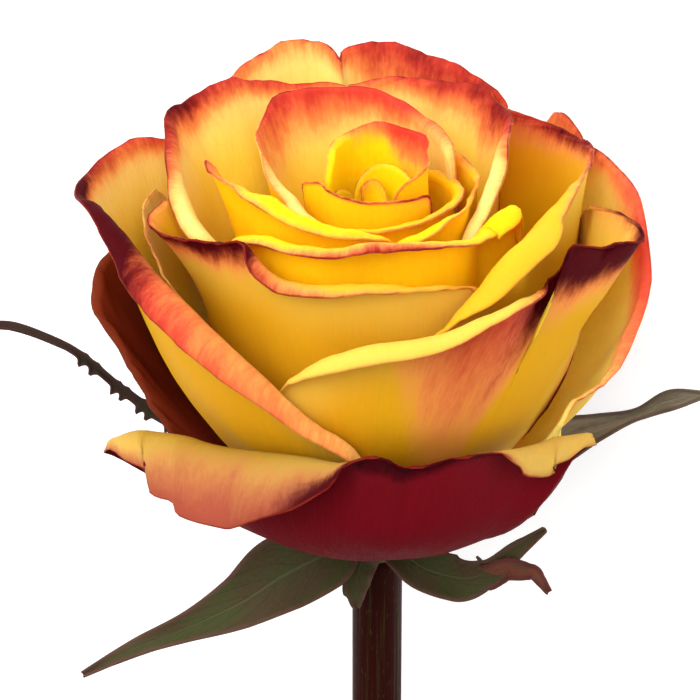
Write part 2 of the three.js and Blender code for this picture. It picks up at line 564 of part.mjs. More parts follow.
function meshOf(name, solid, color, roughness) {
  const data = solid.getMesh();
  const geometry = new THREE.BufferGeometry();
  const positions = new THREE.BufferAttribute(Float32Array.from(data.vertProperties), 3);
  geometry.setAttribute('position', positions);
  geometry.setIndex([...data.triVerts]);
  geometry.computeVertexNormals();
  const mesh = new THREE.Mesh(geometry, new THREE.MeshStandardMaterial({ color, roughness, metalness: 0 }));
  mesh.name = name;
  return mesh;
}

const evenly = (n) => Array.from({ length: n }, (_, i) => i / (n - 1));

// The hip with its domed seat for the petals, as one turned body
function hipSolid(grow) {
  const seat = (level) => SEAT_NECK + SEAT_SLOPE * level + SEAT_MARGIN;
  const profile = [[STEM_RADIUS, -HIP_DEPTH - grow], [HIP_RADIUS, -HIP_SHOULDER],
    [HIP_RADIUS + SEAT_MARGIN, -HIP_RIM], [seat(1), 0], [seat(0.5), SEAT_TOP / 2],
    [seat(0), SEAT_TOP], [SEAT_TIP, SEAT_TOP + 1 + grow]];
  const line = profile.map(([, z]) => lay(new THREE.Vector3(0, 0, z)));
  return tubeSolid(line, profile.map(([r]) => r + grow), HIP_SIDES);
}

// A sepal: a pointed blade along its midline, with side spikes and, on one, a second tip
function sepalGrid(sepal, line, half, stations) {
  const points = line.map(vec);
  const knots = knotsAlong(points);
  const place = ['x', 'y', 'z'].map((k) => curveThrough(knots, points.map((p) => p[k])));
  const width = curveThrough(knots, half);
  const up = vec(sepal.up).normalize();
  return evenly(stations).map((t) => {
    const here = new THREE.Vector3(place[0](t), place[1](t), place[2](t));
    const next = Math.min(t + 0.02, 1);
    const back = Math.max(next - 0.04, 0);
    const ahead = new THREE.Vector3(place[0](next), place[1](next), place[2](next))
      .sub(new THREE.Vector3(place[0](back), place[1](back), place[2](back))).normalize();
    const side = ahead.clone().cross(up).normalize();
    const lift = side.clone().cross(ahead).normalize();
    const spike = sepal.spikes.some((s) => Math.abs(s - t) < 0.5 / stations) ? SPIKE_REACH : 1;
    return [-1, 0, 1].map((s) => here.clone()
      .addScaledVector(side, s * width(t) * spike)
      .addScaledVector(lift, SEPAL_HOLLOW * width(t) * Math.abs(s)));
  });
}

function sepalSolid(sepal, thickness) {
  const root = sepalGrid(sepal, sepal.line, sepal.half, SEPAL_STATIONS);
  const blade = bladeSolid(layAll(root), thickness);
  if (!sepal.fork) return blade;
  const plain = { ...sepal, spikes: [] };
  const fork = sepalGrid(plain, sepal.fork.line, sepal.fork.half, FORK_STATIONS);
  return blade.add(bladeSolid(layAll(fork), thickness));
}

// The stem's midline: straight out of the hip, then easing down until it lies on the table
const neck = lay(new THREE.Vector3(0, 0, -HIP_DEPTH - GAP));
const neckWay = new THREE.Vector3(-Math.cos(rad(BLOOM_TILT)), 0, -Math.sin(rad(BLOOM_TILT)));
const stemBottom = STEM_RADIUS * Math.cos(Math.PI / STEM_SIDES);
const stemEnd = new THREE.Vector3(neck.x - STEM_REACH, 0, stemBottom);
const stemCurve = new THREE.CubicBezierCurve3(
  neck, neck.clone().addScaledVector(neckWay, STEM_REACH * NECK_EASE),
  stemEnd.clone().add(new THREE.Vector3(STEM_REACH * TAIL_EASE, 0, 0)), stemEnd);

function stemSolid(grow) {
  const stations = evenly(STEM_STATIONS).map((t) => stemCurve.getPoint(t));
  stations[STEM_STATIONS - 2].z = stemBottom;
  const radii = stations.map(() => STEM_RADIUS + grow);
  let solid = tubeSolid(stations, radii, STEM_SIDES);
  if (grow > 0) return solid;
  PRICKLES.forEach((t, i) => {
    const centre = stemCurve.getPoint(t);
    const ahead = stemCurve.getTangent(t);
    const angle = rad(PRICKLE_FIRST + PRICKLE_TURN * (i % 2) + PRICKLE_STRAY * (i % 3));
    const out = new THREE.Vector3(0, Math.cos(angle), Math.sin(angle));
    const root = centre.clone().addScaledVector(out, STEM_RADIUS * PRICKLE_ROOT);
    const tip = centre.clone().addScaledVector(out, STEM_RADIUS + PRICKLE_LENGTH)
      .addScaledVector(ahead, PRICKLE_LENGTH * PRICKLE_LEAN);
    const line = evenly(PRICKLE_RADII.length).map((s) => root.clone().lerp(tip, s));
    solid = solid.add(tubeSolid(line, PRICKLE_RADII, PRICKLE_SIDES, PRICKLE_SPREAD));
  });
  return mainBody(solid);
}

// One toothed leaflet on the midline from a root along a heading, drooping to its tip
function leafletGrid(root, heading, length, droop) {
  const side = heading.clone().cross(new THREE.Vector3(0, 0, 1)).normalize();
  return evenly(LEAFLET_STATIONS).map((t, i) => {
    const widest = LEAFLET_WIDTH / 2 * length;
    const body = widest * Math.sin(Math.PI * Math.min(1, t * 0.96 + 0.03) ** 0.8) ** 0.85;
    const tooth = i % 2 === 1 && i < LEAFLET_STATIONS - 1 ? TOOTH_OUT : TOOTH_IN;
    const here = root.clone().addScaledVector(heading, t * length);
    here.z += droop * (t - t * t * DROOP_TURN) * length;
    return [-1, 0, 1].map((s) => {
      const out = s * Math.max(body, BLADE) * tooth;
      const point = here.clone().addScaledVector(side, out);
      const wave = LEAFLET_WAVE * Math.sin(t * LEAFLET_WAVES + s);
      point.z += LEAFLET_CUP * Math.abs(out) + wave * Math.abs(s);
      return point;
    });
  });
}

function leafSolid(leaf) {
  const foot = stemCurve.getPoint(leaf.at);
  const back = stemCurve.getTangent(leaf.at).negate();
  const turn = rad(LEAF_SWEEP);
  const heading = new THREE.Vector3(back.x * Math.cos(turn), leaf.side * Math.sin(turn), 0).normalize();
  const start = foot.clone().add(new THREE.Vector3(0, leaf.side * STEM_RADIUS / 2, STALK_LIFT));
  const end = start.clone().addScaledVector(heading, leaf.length);
  end.z = start.z + leaf.rise * STALK_LIFT;
  const bow = start.clone().lerp(end, 0.5);
  bow.z += leaf.rise * STALK_BOW;
  const spine = new THREE.QuadraticBezierCurve3(start, bow, end);
  const stations = evenly(STALK_STATIONS);
  const line = stations.map((t) => spine.getPoint(t));
  const radii = stations.map((t) => STALK_RADIUS * (STALK_FOOT - STALK_TAPER * t));
  let solid = tubeSolid(line, radii, STALK_SIDES);
  const tipGrid = leafletGrid(spine.getPoint(LEAFLET_ROOT), heading, leaf.leaflet, TIP_DROOP);
  solid = solid.add(bladeSolid(tipGrid, BLADE));
  for (let p = 0; p < leaf.pairs; p++) {
    const t = LEAFLET_FIRST - LEAFLET_SPACING * p;
    for (const hand of [-1, 1]) {
      const spread = hand * rad(LEAFLET_SPREAD);
      const away = heading.clone().applyAxisAngle(new THREE.Vector3(0, 0, 1), spread);
      const size = leaf.leaflet * (SIDE_LEAFLET - LEAFLET_SHRINK * p);
      const root = spine.getPoint(t).addScaledVector(away, -LEAFLET_SINK);
      solid = solid.add(bladeSolid(leafletGrid(root, away, size, SIDE_DROOP), BLADE));
    }
  }
  return mainBody(solid);
}

// Each piece is trimmed clear of the pieces already placed
const placed = [];

function near(a, b) {
  const p = a.boundingBox();
  const q = b.boundingBox();
  return [0, 1, 2].every((k) => p.min[k] < q.max[k] && q.min[k] < p.max[k]);
}

function place(solid, ...clearances) {
  for (const other of placed) {
    if (near(solid, other)) solid = solid.subtract(other);
  }
  placed.push(...clearances);
  return mainBody(solid);
}

const bloom = new THREE.Group();
const calyx = new THREE.Group();
const cane = new THREE.Group();

const hip = place(hipSolid(0), hipSolid(GAP));
calyx.add(meshOf('hip', hip, SEPAL_GREEN, 0.6));

// A column for each point read along a petal's rim, within limits
function columnsOf(petal) {
  const fewest = petal.swell < CORE_SWELL ? CORE_COLUMNS : FEWEST_COLUMNS;
  return evenly(THREE.MathUtils.clamp(petal.rim.length, fewest, MOST_COLUMNS));
}

PETALS.forEach((petal) => {
  const lipRows = petal.rim.some((point) => point[3] > LONG_LIP) ? LONG_LIP_ROWS : SHORT_LIP_ROWS;
  const rows = petal.swing ? LATE_ROWS : CLAW_ROWS;
  const grid = layAll(petalGrid(petal, columnsOf(petal), rows, lipRows));
  const shells = SHELLS.map((gaps) => {
    const more = gaps * GAP;
    return bladeSolid(widened(grid, more / 2), BLADE + more);
  });
  const solid = place(bladeSolid(grid, BLADE), ...shells);
  const plain = petal.swell > PALE_FROM_SWELL ? PALE : YELLOW;
  bloom.add(meshOf(petal.name, solid, petal.name === CRIMSON_PETAL ? CRIMSON : plain, 0.55));
});

SEPALS.forEach((sepal) => {
  const solid = place(sepalSolid(sepal, BLADE), sepalSolid(sepal, BLADE + 2 * GAP));
  calyx.add(meshOf(sepal.name, solid, SEPAL_GREEN, 0.7));
});

const stem = place(stemSolid(0), stemSolid(GAP));
cane.add(meshOf('stem', stem, STEM_MAROON, 0.5));
LEAVES.forEach((leaf) => {
  const solid = leafSolid(leaf);
  cane.add(meshOf(leaf.name, place(solid, solid), LEAF_GREEN, 0.55));
});

const rose = new THREE.Group();
rose.add(bloom, calyx, cane);
const size = new THREE.Box3().setFromObject(rose);
const middle = size.getCenter(new THREE.Vector3());
rose.position.set(-middle.x, -middle.y, 0);

export default rose;
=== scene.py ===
import logging
import math
from dataclasses import dataclass, field
from enum import Enum
from typing import Callable

import bpy
import numpy as np
from mathutils import Matrix, Vector


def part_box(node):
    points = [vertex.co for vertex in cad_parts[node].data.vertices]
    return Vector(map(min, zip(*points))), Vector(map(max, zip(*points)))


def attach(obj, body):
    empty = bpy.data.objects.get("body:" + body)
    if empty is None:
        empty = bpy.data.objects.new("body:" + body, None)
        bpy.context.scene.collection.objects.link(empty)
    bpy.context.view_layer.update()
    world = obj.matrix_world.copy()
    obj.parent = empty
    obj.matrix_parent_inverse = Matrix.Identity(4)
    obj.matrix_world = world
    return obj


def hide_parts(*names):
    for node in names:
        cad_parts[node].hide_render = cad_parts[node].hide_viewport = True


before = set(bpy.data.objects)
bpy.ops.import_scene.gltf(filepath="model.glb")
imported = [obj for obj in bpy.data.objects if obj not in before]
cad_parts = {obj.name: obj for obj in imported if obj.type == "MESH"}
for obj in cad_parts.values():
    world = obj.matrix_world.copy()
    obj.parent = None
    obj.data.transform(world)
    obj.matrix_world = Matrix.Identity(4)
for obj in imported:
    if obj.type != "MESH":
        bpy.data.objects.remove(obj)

# Sizes are in millimetres until a mesh is made. Forms are first given in the bloom's own frame:
# its axis is +Z, the front of the bloom is -Y, and the seat of the petals starts at z = 0.
LOG = logging.getLogger("cut_rose")
METRE = 0.001
PETAL_THICKNESS = 0.36
LEAF_THICKNESS = 0.4
# The least height over the table, and how far an edge is rounded as a share of the thickness
FLOOR_GAP = 0.02
EDGE_ROUND = 0.45
# How early a petal fans out from its claw, and how late it climbs to its rim
FAN_OUT = 1.8
CLIMB = 1.5
# Side veins along a leaf, and how far they slant towards its tip
VEINS = 10.0
VEIN_SLANT = 2.6
# The domed seat of the petals: its height, how much wider its foot is, and the radius at its top
SEAT_TOP = 9.0
SEAT_SLOPE = 5.0
SEAT_NECK = 1.2
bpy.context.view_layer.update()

Colour = tuple[float, float, float]


class Side(Enum):
    """The two faces of a petal, leaf or sepal, in the order of their material slots."""

    INNER = 0
    OUTER = 1


class Skin(Enum):
    """Colourings of the sepals."""

    OLIVE = "olive"
    DARK = "dark"
    RUDDY = "ruddy"
    DOWNY = "downy"


class Wash(Enum):
    """The ground colour that a petal face carries."""

    GOLD = "gold"
    LEMON = "lemon"
    AMBER = "amber"
    HONEY = "honey"
    SHEER = "sheer"
    STRAW = "straw"
    BUFF = "buff"
    CRIMSON = "crimson"
    ROSY = "rosy"
    # Russet darkened by painted shade
    SHADED_RUSSET = "shaded_russet"


@dataclass(frozen=True)
class Laying:
    """How the upright bloom is laid down on the table.

    The bloom's axis turns to +X, its front faces up, and its heart is raised by the tilt.

    Attributes:
        tilt: How far the heart is raised, in degrees.
        height: Of the bloom's origin over the table, in millimetres.
        centre_x: Of the bloom's origin on the table.
        centre_y: The same on the other axis.
    """

    tilt: float = 7.6
    height: float = 37.5
    centre_x: float = 0.0
    centre_y: float = 0.0

    def matrix(self) -> Matrix:
        """Works out how the bloom is turned and moved.

        Returns:
            The matrix from the bloom's frame to the table's, in millimetres.
        """
        turn = Matrix(((0, 0, 1, 0), (-1, 0, 0, 0), (0, -1, 0, 0), (0, 0, 0, 1)))
        raised = Matrix.Rotation(-math.radians(self.tilt), 4, "Y") @ turn
        return Matrix.Translation((self.centre_x, self.centre_y, self.height)) @ raised

    def lay(self, points: np.ndarray) -> np.ndarray:
        """Moves points from the bloom's frame to the table's.

        Args:
            points: An array whose last axis is x, y, z.

        Returns:
            The points on the table, in millimetres.
        """
        m = np.array(self.matrix())
        return points @ m[:3, :3].T + m[:3, 3]


def smooth(low: float, high: float, value: np.ndarray) -> np.ndarray:
    """Eases a value from 0 at low to 1 at high."""
    t = np.clip((value - low) / (high - low), 0.0, 1.0)
    return t * t * (3.0 - 2.0 * t)


def curve_through(knots: np.ndarray, values: np.ndarray) -> Callable[[np.ndarray], np.ndarray]:
    """Makes a monotone cubic curve through values at rising knots.

    Args:
        knots: Rising places of the values.
        values: The value at each knot.

    Returns:
        A function from places to values.
    """
    step = np.diff(knots)
    rise = np.diff(values) / step
    slope = np.zeros(len(knots))
    slope[0] = rise[0]
    slope[-1] = rise[-1]
    for i in range(1, len(knots) - 1):
        if rise[i - 1] * rise[i] > 0:
            a = 2 * step[i] + step[i - 1]
            b = step[i] + 2 * step[i - 1]
            slope[i] = (a + b) / (a / rise[i - 1] + b / rise[i])

    def at(place: np.ndarray) -> np.ndarray:
        """Reads the curve.

        Args:
            place: Places along it.

        Returns:
            The value at each place.
        """
        place = np.asarray(place, dtype=float)
        i = np.clip(np.searchsorted(knots, place, side="right") - 1, 0, len(step) - 1)
        h = step[i]
        s = np.clip((place - knots[i]) / h, 0.0, 1.0)
        start = (1 + 2 * s) * (1 - s) ** 2 * values[i] + s * (1 - s) ** 2 * h * slope[i]
        return start + s * s * (3 - 2 * s) * values[i + 1] + s * s * (s - 1) * h * slope[i + 1]

    return at


def knots_along(points: np.ndarray) -> np.ndarray:
    """Spaces knots by the square root of the distance between points.

    Args:
        points: The points, in order.

    Returns:
        The knots, rising from 0 to 1.
    """
    chords = np.sqrt(np.linalg.norm(np.diff(points, axis=0), axis=1))
    knots = np.concatenate(([0.0], np.cumsum(chords)))
    return knots / knots[-1]


def polar(azimuth: np.ndarray, radius: np.ndarray, height: np.ndarray) -> np.ndarray:
    """Turns azimuth in degrees, radius and height into points."""
    a = np.radians(azimuth)
    return np.stack((radius * np.cos(a), radius * np.sin(a), np.broadcast_to(height, a.shape)), axis=-1)


def unit(vectors: np.ndarray) -> np.ndarray:
    """Scales vectors to a length of one."""
    return vectors / np.maximum(np.linalg.norm(vectors, axis=-1, keepdims=True), 1e-9)


def running_length(points: np.ndarray, axis: int) -> np.ndarray:
    """Measures the way along a grid of points.

    Args:
        points: The grid of points.
        axis: The axis to follow.

    Returns:
        The length from the first row or column to each point.
    """
    steps = np.linalg.norm(np.diff(points, axis=axis), axis=-1)
    start = np.zeros_like(np.take(steps, [0], axis=axis))
    return np.concatenate((start, np.cumsum(steps, axis=axis)), axis=axis)


def mesh_object(name: str, points: np.ndarray, faces: list[tuple[int, ...]],
                tracks: dict[str, np.ndarray], materials: tuple[bpy.types.Material, ...]) -> bpy.types.Object:
    """Makes a smooth mesh object.

    Args:
        name: The object's name.
        points: Its points, in millimetres.
        faces: The points of each face.
        tracks: Named values at each point for the shaders.
        materials: Its materials.

    Returns:
        The new object, in metres.
    """
    mesh = bpy.data.meshes.new(name)
    mesh.from_pydata((points * METRE).tolist(), [], faces)
    mesh.polygons.foreach_set("use_smooth", [True] * len(faces))
    for track, value in tracks.items():
        layer = mesh.attributes.new(track, "FLOAT", "POINT")
        layer.data.foreach_set("value", value.astype(np.float32))
    for material in materials:
        mesh.materials.append(material)
    mesh.update()
    piece = bpy.data.objects.new(name, mesh)
    bpy.context.scene.collection.objects.link(piece)
    return piece


def both_faces(**values: np.ndarray) -> dict[str, tuple[np.ndarray, np.ndarray]]:
    """Gives the inner and the outer face of a sheet the same values."""
    return {name: (value, value) for name, value in values.items()}


@dataclass
class Sheet:
    """A thin closed blade made from a grid of points, with a rounded edge.

    Attributes:
        points: Rows by columns of points on the table, in millimetres.
        thickness: The blade's thickness, in millimetres.
        tracks: Named values at each point for the shaders, for the inner and the outer face.
    """

    points: np.ndarray
    thickness: float
    tracks: dict[str, tuple[np.ndarray, np.ndarray]] = field(default_factory=dict)

    def normals(self) -> np.ndarray:
        """Works out which way the sheet faces.

        Returns:
            The unit normals at the points, towards the outer face.
        """
        along = np.gradient(self.points, axis=1)
        up = np.gradient(self.points, axis=0)
        return unit(np.cross(along, up))

    def edge_loop(self) -> list[int]:
        """Follows the edge of the grid.

        Returns:
            The indices of the grid's edge points, in order round the blade.
        """
        rows, columns = self.points.shape[:2]
        loop = list(range(columns))
        loop += [r * columns + columns - 1 for r in range(1, rows)]
        loop += [(rows - 1) * columns + c for c in range(columns - 2, -1, -1)]
        loop += [r * columns for r in range(rows - 2, 0, -1)]
        return loop

    def rim_points(self, loop: list[int]) -> np.ndarray:
        """Rounds the edge.

        Args:
            loop: The indices of the edge points, in order.

        Returns:
            The points of the edge, nearly half a thickness out from the grid.
        """
        flat = self.points.reshape(-1, 3)
        ring = flat[loop]
        ahead = np.roll(ring, -1, axis=0) - np.roll(ring, 1, axis=0)
        normal = self.normals().reshape(-1, 3)[loop]
        return ring + unit(np.cross(ahead, normal)) * self.thickness * EDGE_ROUND

    def build(self, name: str, materials: tuple[bpy.types.Material, ...]) -> bpy.types.Object:
        """Makes the blade's object.

        Args:
            name: The piece's name.
            materials: The materials of the inner and the outer face.

        Returns:
            The new object, in metres.
        """
        rows, columns = self.points.shape[:2]
        offset = self.normals() * self.thickness / 2
        outer = (self.points + offset).reshape(-1, 3)
        inner = (self.points - offset).reshape(-1, 3)
        loop = self.edge_loop()
        ring = self.rim_points(loop)
        lift = np.maximum(FLOOR_GAP - np.minimum(outer[:, 2], inner[:, 2]), 0.0)
        outer[:, 2] += lift
        inner[:, 2] += lift
        ring[:, 2] = np.maximum(ring[:, 2], FLOOR_GAP)
        n = rows * columns
        faces: list[tuple[int, ...]] = []
        for r in range(rows - 1):
            for c in range(columns - 1):
                i = r * columns + c
                quad = (i, i + 1, i + columns + 1, i + columns)
                faces += [quad, tuple(n + q for q in reversed(quad))]
        for k, p in enumerate(loop):
            q = loop[(k + 1) % len(loop)]
            ring_p = 2 * n + k
            ring_q = 2 * n + (k + 1) % len(loop)
            faces += [(q, p, ring_p, ring_q), (ring_q, ring_p, n + p, n + q)]
        tracks = {track: np.concatenate((outside.ravel(), inside.ravel(), outside.ravel()[loop]))
                  for track, (inside, outside) in self.tracks.items()}
        piece = mesh_object(name, np.concatenate((outer, inner, ring)), faces, tracks, materials)
        slots = [Side.OUTER.value, Side.INNER.value] * (len(faces) // 2)
        piece.data.polygons.foreach_set("material_index", slots)
        return piece


class NodeKit:
    """Adds shader nodes to one material and joins them up."""

    def __init__(self, name: str) -> None:
        """Starts a material with a Principled surface.

        Args:
            name: The material's name.
        """
        self.material = bpy.data.materials.new(name)
        self.material.use_nodes = True
        self.tree = self.material.node_tree
        self.surface = self.tree.nodes["Principled BSDF"]

    def node(self, kind: str, **settings: object) -> bpy.types.Node:
        """Adds a node and sets its properties.

        Args:
            kind: The node's type name.
            **settings: Properties of the node.

        Returns:
            The new node.
        """
        made = self.tree.nodes.new(kind)
        for key, value in settings.items():
            setattr(made, key, value)
        return made

    def link(self, source: bpy.types.NodeSocket, target: bpy.types.NodeSocket) -> None:
        """Joins an output to an input."""
        self.tree.links.new(source, target)

    def track(self, name: str) -> bpy.types.NodeSocket:
        """Reads a value that the mesh carries."""
        return self.node("ShaderNodeAttribute", attribute_name=name).outputs["Fac"]

    def put(self, socket: bpy.types.NodeSocket, value: object) -> None:
        """Sets an input, or joins another node's output to it.

        Args:
            socket: The input.
            value: A number, a colour or an output socket.
        """
        if isinstance(value, tuple):
            socket.default_value = (*value, 1.0)
        elif isinstance(value, (int, float)):
            socket.default_value = value
        else:
            self.link(value, socket)

    def maths(self, operation: str, *values: object) -> bpy.types.NodeSocket:
        """Works out one number from others.

        Args:
            operation: The operation's name.
            *values: Numbers or output sockets.

        Returns:
            The result's socket.
        """
        made = self.node("ShaderNodeMath", operation=operation)
        for socket, value in zip(made.inputs, values):
            self.put(socket, value)
        return made.outputs[0]

    def times(self, *values: object) -> bpy.types.NodeSocket:
        """Multiplies two numbers."""
        return self.maths("MULTIPLY", *values)

    def plus(self, *values: object) -> bpy.types.NodeSocket:
        """Adds two numbers."""
        return self.maths("ADD", *values)

    def ease(self, value: bpy.types.NodeSocket, low: float, high: float,
             start: float = 0.0, end: float = 1.0) -> bpy.types.NodeSocket:
        """Maps a value smoothly from one range to another.

        Args:
            value: The value's socket.
            low: Where the range starts.
            high: Where it ends.
            start: The result at low.
            end: The result at high.

        Returns:
            The result's socket.
        """
        made = self.node("ShaderNodeMapRange", interpolation_type="SMOOTHSTEP")
        names = ("Value", "From Min", "From Max", "To Min", "To Max")
        for name, amount in zip(names, (value, low, high, start, end)):
            self.put(made.inputs[name], amount)
        return made.outputs["Result"]

    def blend(self, amount: object, first: object, second: object) -> bpy.types.NodeSocket:
        """Mixes two colours.

        Args:
            amount: How much of the second colour, as a number or socket.
            first: A colour or socket.
            second: A colour or socket.

        Returns:
            The mixed colour's socket.
        """
        made = self.node("ShaderNodeMix", data_type="RGBA")
        factor, colour_a, colour_b = 0, 6, 7
        for place, value in ((factor, amount), (colour_a, first), (colour_b, second)):
            self.put(made.inputs[place], value)
        return made.outputs[2]

    def noise(self, vector: bpy.types.NodeSocket, scale: float, detail: float = 3.0,
              roughness: float = 0.55) -> bpy.types.NodeSocket:
        """Adds a noise pattern.

        Args:
            vector: Where the pattern is read.
            scale: How fine it is.
            detail: How many finer layers it has.
            roughness: How strong those are.

        Returns:
            The socket of its strength.
        """
        made = self.node("ShaderNodeTexNoise")
        names = ("Vector", "Scale", "Detail", "Roughness")
        for name, value in zip(names, (vector, scale, detail, roughness)):
            self.put(made.inputs[name], value)
        return made.outputs[0]

    def vector(self, *values: object) -> bpy.types.NodeSocket:
        """Joins up to three numbers into a vector.

        Args:
            *values: Numbers or output sockets.

        Returns:
            The vector's socket.
        """
        made = self.node("ShaderNodeCombineXYZ")
        for socket, value in zip(made.inputs, values):
            self.put(socket, value)
        return made.outputs[0]

    def bump(self, height: bpy.types.NodeSocket, strength: float, distance: float,
             below: bpy.types.NodeSocket | None = None) -> bpy.types.NodeSocket:
        """Adds relief over any relief below it.

        Args:
            height: The socket of the height.
            strength: How far it shows, 0 to 1.
            distance: Its depth, in metres.
            below: The relief below it, if any.

        Returns:
            The socket of the normal.
        """
        made = self.node("ShaderNodeBump")
        names = ("Height", "Strength", "Distance")
        for name, value in zip(names, (height, strength, distance)):
            self.put(made.inputs[name], value)
        if below is not None:
            self.link(below, made.inputs["Normal"])
        return made.outputs[0]

    def set(self, **values: object) -> None:
        """Sets values on the surface's own sockets, by name with _ for a space."""
        for key, value in values.items():
            self.surface.inputs[key.replace("_", " ")].default_value = value


@dataclass(frozen=True)
class PetalFinish:
    """The look of one petal face: a ground colour, a paler margin, and a red blush with veins.

    Attributes:
        name: The material's name.
        deep_and_shaded: Colour low in the petal, partly its own deeper orange base and partly painted warm
            shade deep in the cup.
        ground: Colour of the middle of the petal.
        pale: Colour near the margin where there is no blush.
        peach: Colour of a light blush.
        blush: Colour of the red margin.
        dusk: Colour of the darkest margins, partly their own deep crimson and partly painted shade under
            folds and rolled lips.
        line: Colour of the fine line along the edge.
        glow: Warmer colour of the fine veins.
        paling: How far the paler margin shows, 0 to 1.
        subsurface: How far light passes into the petal, 0 to 1.
        shine: Strength of the surface's reflection.
        relief: Strength of the veins' relief, 0 to 1.
    """

    name: str
    deep_and_shaded: Colour
    ground: Colour
    pale: Colour
    peach: Colour = (0.76, 0.28, 0.062)
    blush: Colour = (0.50, 0.040, 0.024)
    dusk: Colour = (0.050, 0.001, 0.003)
    line: Colour = (0.16, 0.012, 0.008)
    glow: Colour = (0.82, 0.32, 0.004)
    paling: float = 0.8
    subsurface: float = 0.3
    shine: float = 0.04
    relief: float = 0.4

    def material(self) -> bpy.types.Material:
        """Makes the material.

        Returns:
            The material of the petal face.
        """
        kit = NodeKit(self.name)
        edge, rise, fan = kit.track("edge"), kit.track("rise"), kit.track("fan")
        blush, dusk, seed = kit.track("blush"), kit.track("dusk"), kit.track("seed")
        veins = kit.noise(kit.vector(kit.times(fan, 2.2), kit.times(rise, 9.0), seed), 1.0, 4.0, 0.6)
        mottle = kit.noise(kit.vector(fan, kit.times(rise, 30.0), seed), 1.1, 5.0, 0.68)
        cloud = kit.noise(kit.vector(kit.times(fan, 0.24), kit.times(rise, 6.0), seed), 1.0, 3.0)
        # Turns deeper orange low in the petal: partly its own base colour, partly painted warm shade deep in
        # the cup
        ground = kit.blend(kit.ease(rise, 0.2, 0.9), self.deep_and_shaded, self.ground)
        paler = kit.times(kit.ease(edge, 15.0, 0.5), self.paling)
        ground = kit.blend(paler, ground, self.pale)
        warm = kit.plus(kit.ease(mottle, 0.35, 0.75, 0.0, 0.14), kit.ease(veins, 0.45, 0.8, 0.0, 0.12))
        ground = kit.blend(warm, ground, self.glow)
        ragged = kit.plus(kit.ease(veins, 0.3, 0.7, -0.03, 0.03), kit.ease(mottle, 0.3, 0.7, -0.05, 0.05))
        ragged = kit.plus(ragged, kit.ease(cloud, 0.3, 0.7, -0.06, 0.06))
        ragged = kit.times(ragged, kit.ease(blush, 0.02, 0.35))
        redness = kit.plus(blush, ragged)
        colour = kit.blend(kit.ease(redness, 0.02, 0.62), ground, self.peach)
        colour = kit.blend(kit.ease(redness, 0.34, 0.95), colour, self.blush)
        # Darkens the margins towards the dark colour: partly their own deep crimson, partly painted shade
        # under folds and rolled lips
        darkening_and_shade = kit.plus(dusk, kit.ease(mottle, 0.3, 0.7, -0.06, 0.06))
        darkening_and_shade = kit.plus(darkening_and_shade, kit.ease(cloud, 0.3, 0.7, -0.08, 0.08))
        darkening_and_shade = kit.times(kit.ease(darkening_and_shade, 0.14, 0.7), kit.ease(dusk, 0.02, 0.2))
        colour = kit.blend(darkening_and_shade, colour, self.dusk)
        rim = kit.times(kit.ease(edge, 0.2, 0.04), kit.ease(dusk, 0.0, 0.3, 0.3, 0.95))
        rim = kit.times(rim, kit.ease(cloud, 0.35, 0.6, 0.5, 1.0))
        colour = kit.blend(rim, colour, self.line)
        kit.link(colour, kit.surface.inputs["Base Color"])
        relief = kit.bump(veins, self.relief, 0.00018)
        relief = kit.bump(mottle, 0.3, 0.0001, relief)
        kit.link(relief, kit.surface.inputs["Normal"])
        kit.link(kit.ease(mottle, 0.3, 0.7, 0.5, 0.66), kit.surface.inputs["Roughness"])
        kit.set(Subsurface_Weight=self.subsurface, Subsurface_Radius=(1.0, 0.42, 0.06),
                Subsurface_Scale=0.0016, Specular_IOR_Level=self.shine)
        return kit.material


@dataclass(frozen=True)
class LeafFinish:
    """The look of a leaf or sepal face: green with veins and a coloured margin.

    Attributes:
        name: The material's name.
        ground: The blade's colour.
        vein: The colour of the midrib and veins.
        margin: The colour of the edge.
        shade: The colour of the blade's clouded patches.
        gloss: The roughness of the face.
        relief: Depth of the veins' relief, in metres.
    """

    name: str
    ground: Colour
    vein: Colour
    margin: Colour
    shade: Colour
    gloss: float = 0.4
    relief: float = 0.0003

    def material(self) -> bpy.types.Material:
        """Makes the material.

        Returns:
            The material of the leaf or sepal face.
        """
        kit = NodeKit(self.name)
        edge, along = kit.track("edge"), kit.track("rise")
        across, seed = kit.track("fan"), kit.track("seed")
        aside = kit.maths("ABSOLUTE", across)
        slant = kit.maths("SUBTRACT", kit.times(along, VEINS), kit.times(aside, VEIN_SLANT))
        comb = kit.maths("ABSOLUTE", kit.maths("SINE", kit.times(slant, math.pi)))
        side_veins = kit.ease(comb, 0.2, 0.0)
        midrib = kit.ease(aside, 0.09, 0.02)
        ribs = kit.maths("MAXIMUM", side_veins, midrib)
        net = kit.noise(kit.vector(kit.times(across, 9.0), kit.times(along, 40.0), seed), 1.6, 4.0)
        cloud = kit.noise(kit.vector(across, kit.times(along, 4.0), seed), 1.1)
        colour = kit.blend(kit.ease(cloud, 0.35, 0.7), self.ground, self.shade)
        colour = kit.blend(kit.ease(net, 0.35, 0.7, 0.0, 0.25), colour, self.vein)
        colour = kit.blend(kit.times(ribs, 0.55), colour, self.vein)
        colour = kit.blend(kit.times(kit.ease(edge, 0.9, 0.1), 0.75), colour, self.margin)
        kit.link(colour, kit.surface.inputs["Base Color"])
        hollow = kit.maths("SUBTRACT", kit.times(net, 0.35), ribs)
        kit.link(kit.bump(hollow, 0.6, self.relief), kit.surface.inputs["Normal"])
        kit.link(kit.ease(net, 0.3, 0.7, self.gloss, self.gloss + 0.15), kit.surface.inputs["Roughness"])
        kit.set(Subsurface_Weight=0.08, Subsurface_Radius=(0.5, 0.9, 0.2), Subsurface_Scale=0.0008,
                Specular_IOR_Level=0.08)
        return kit.material


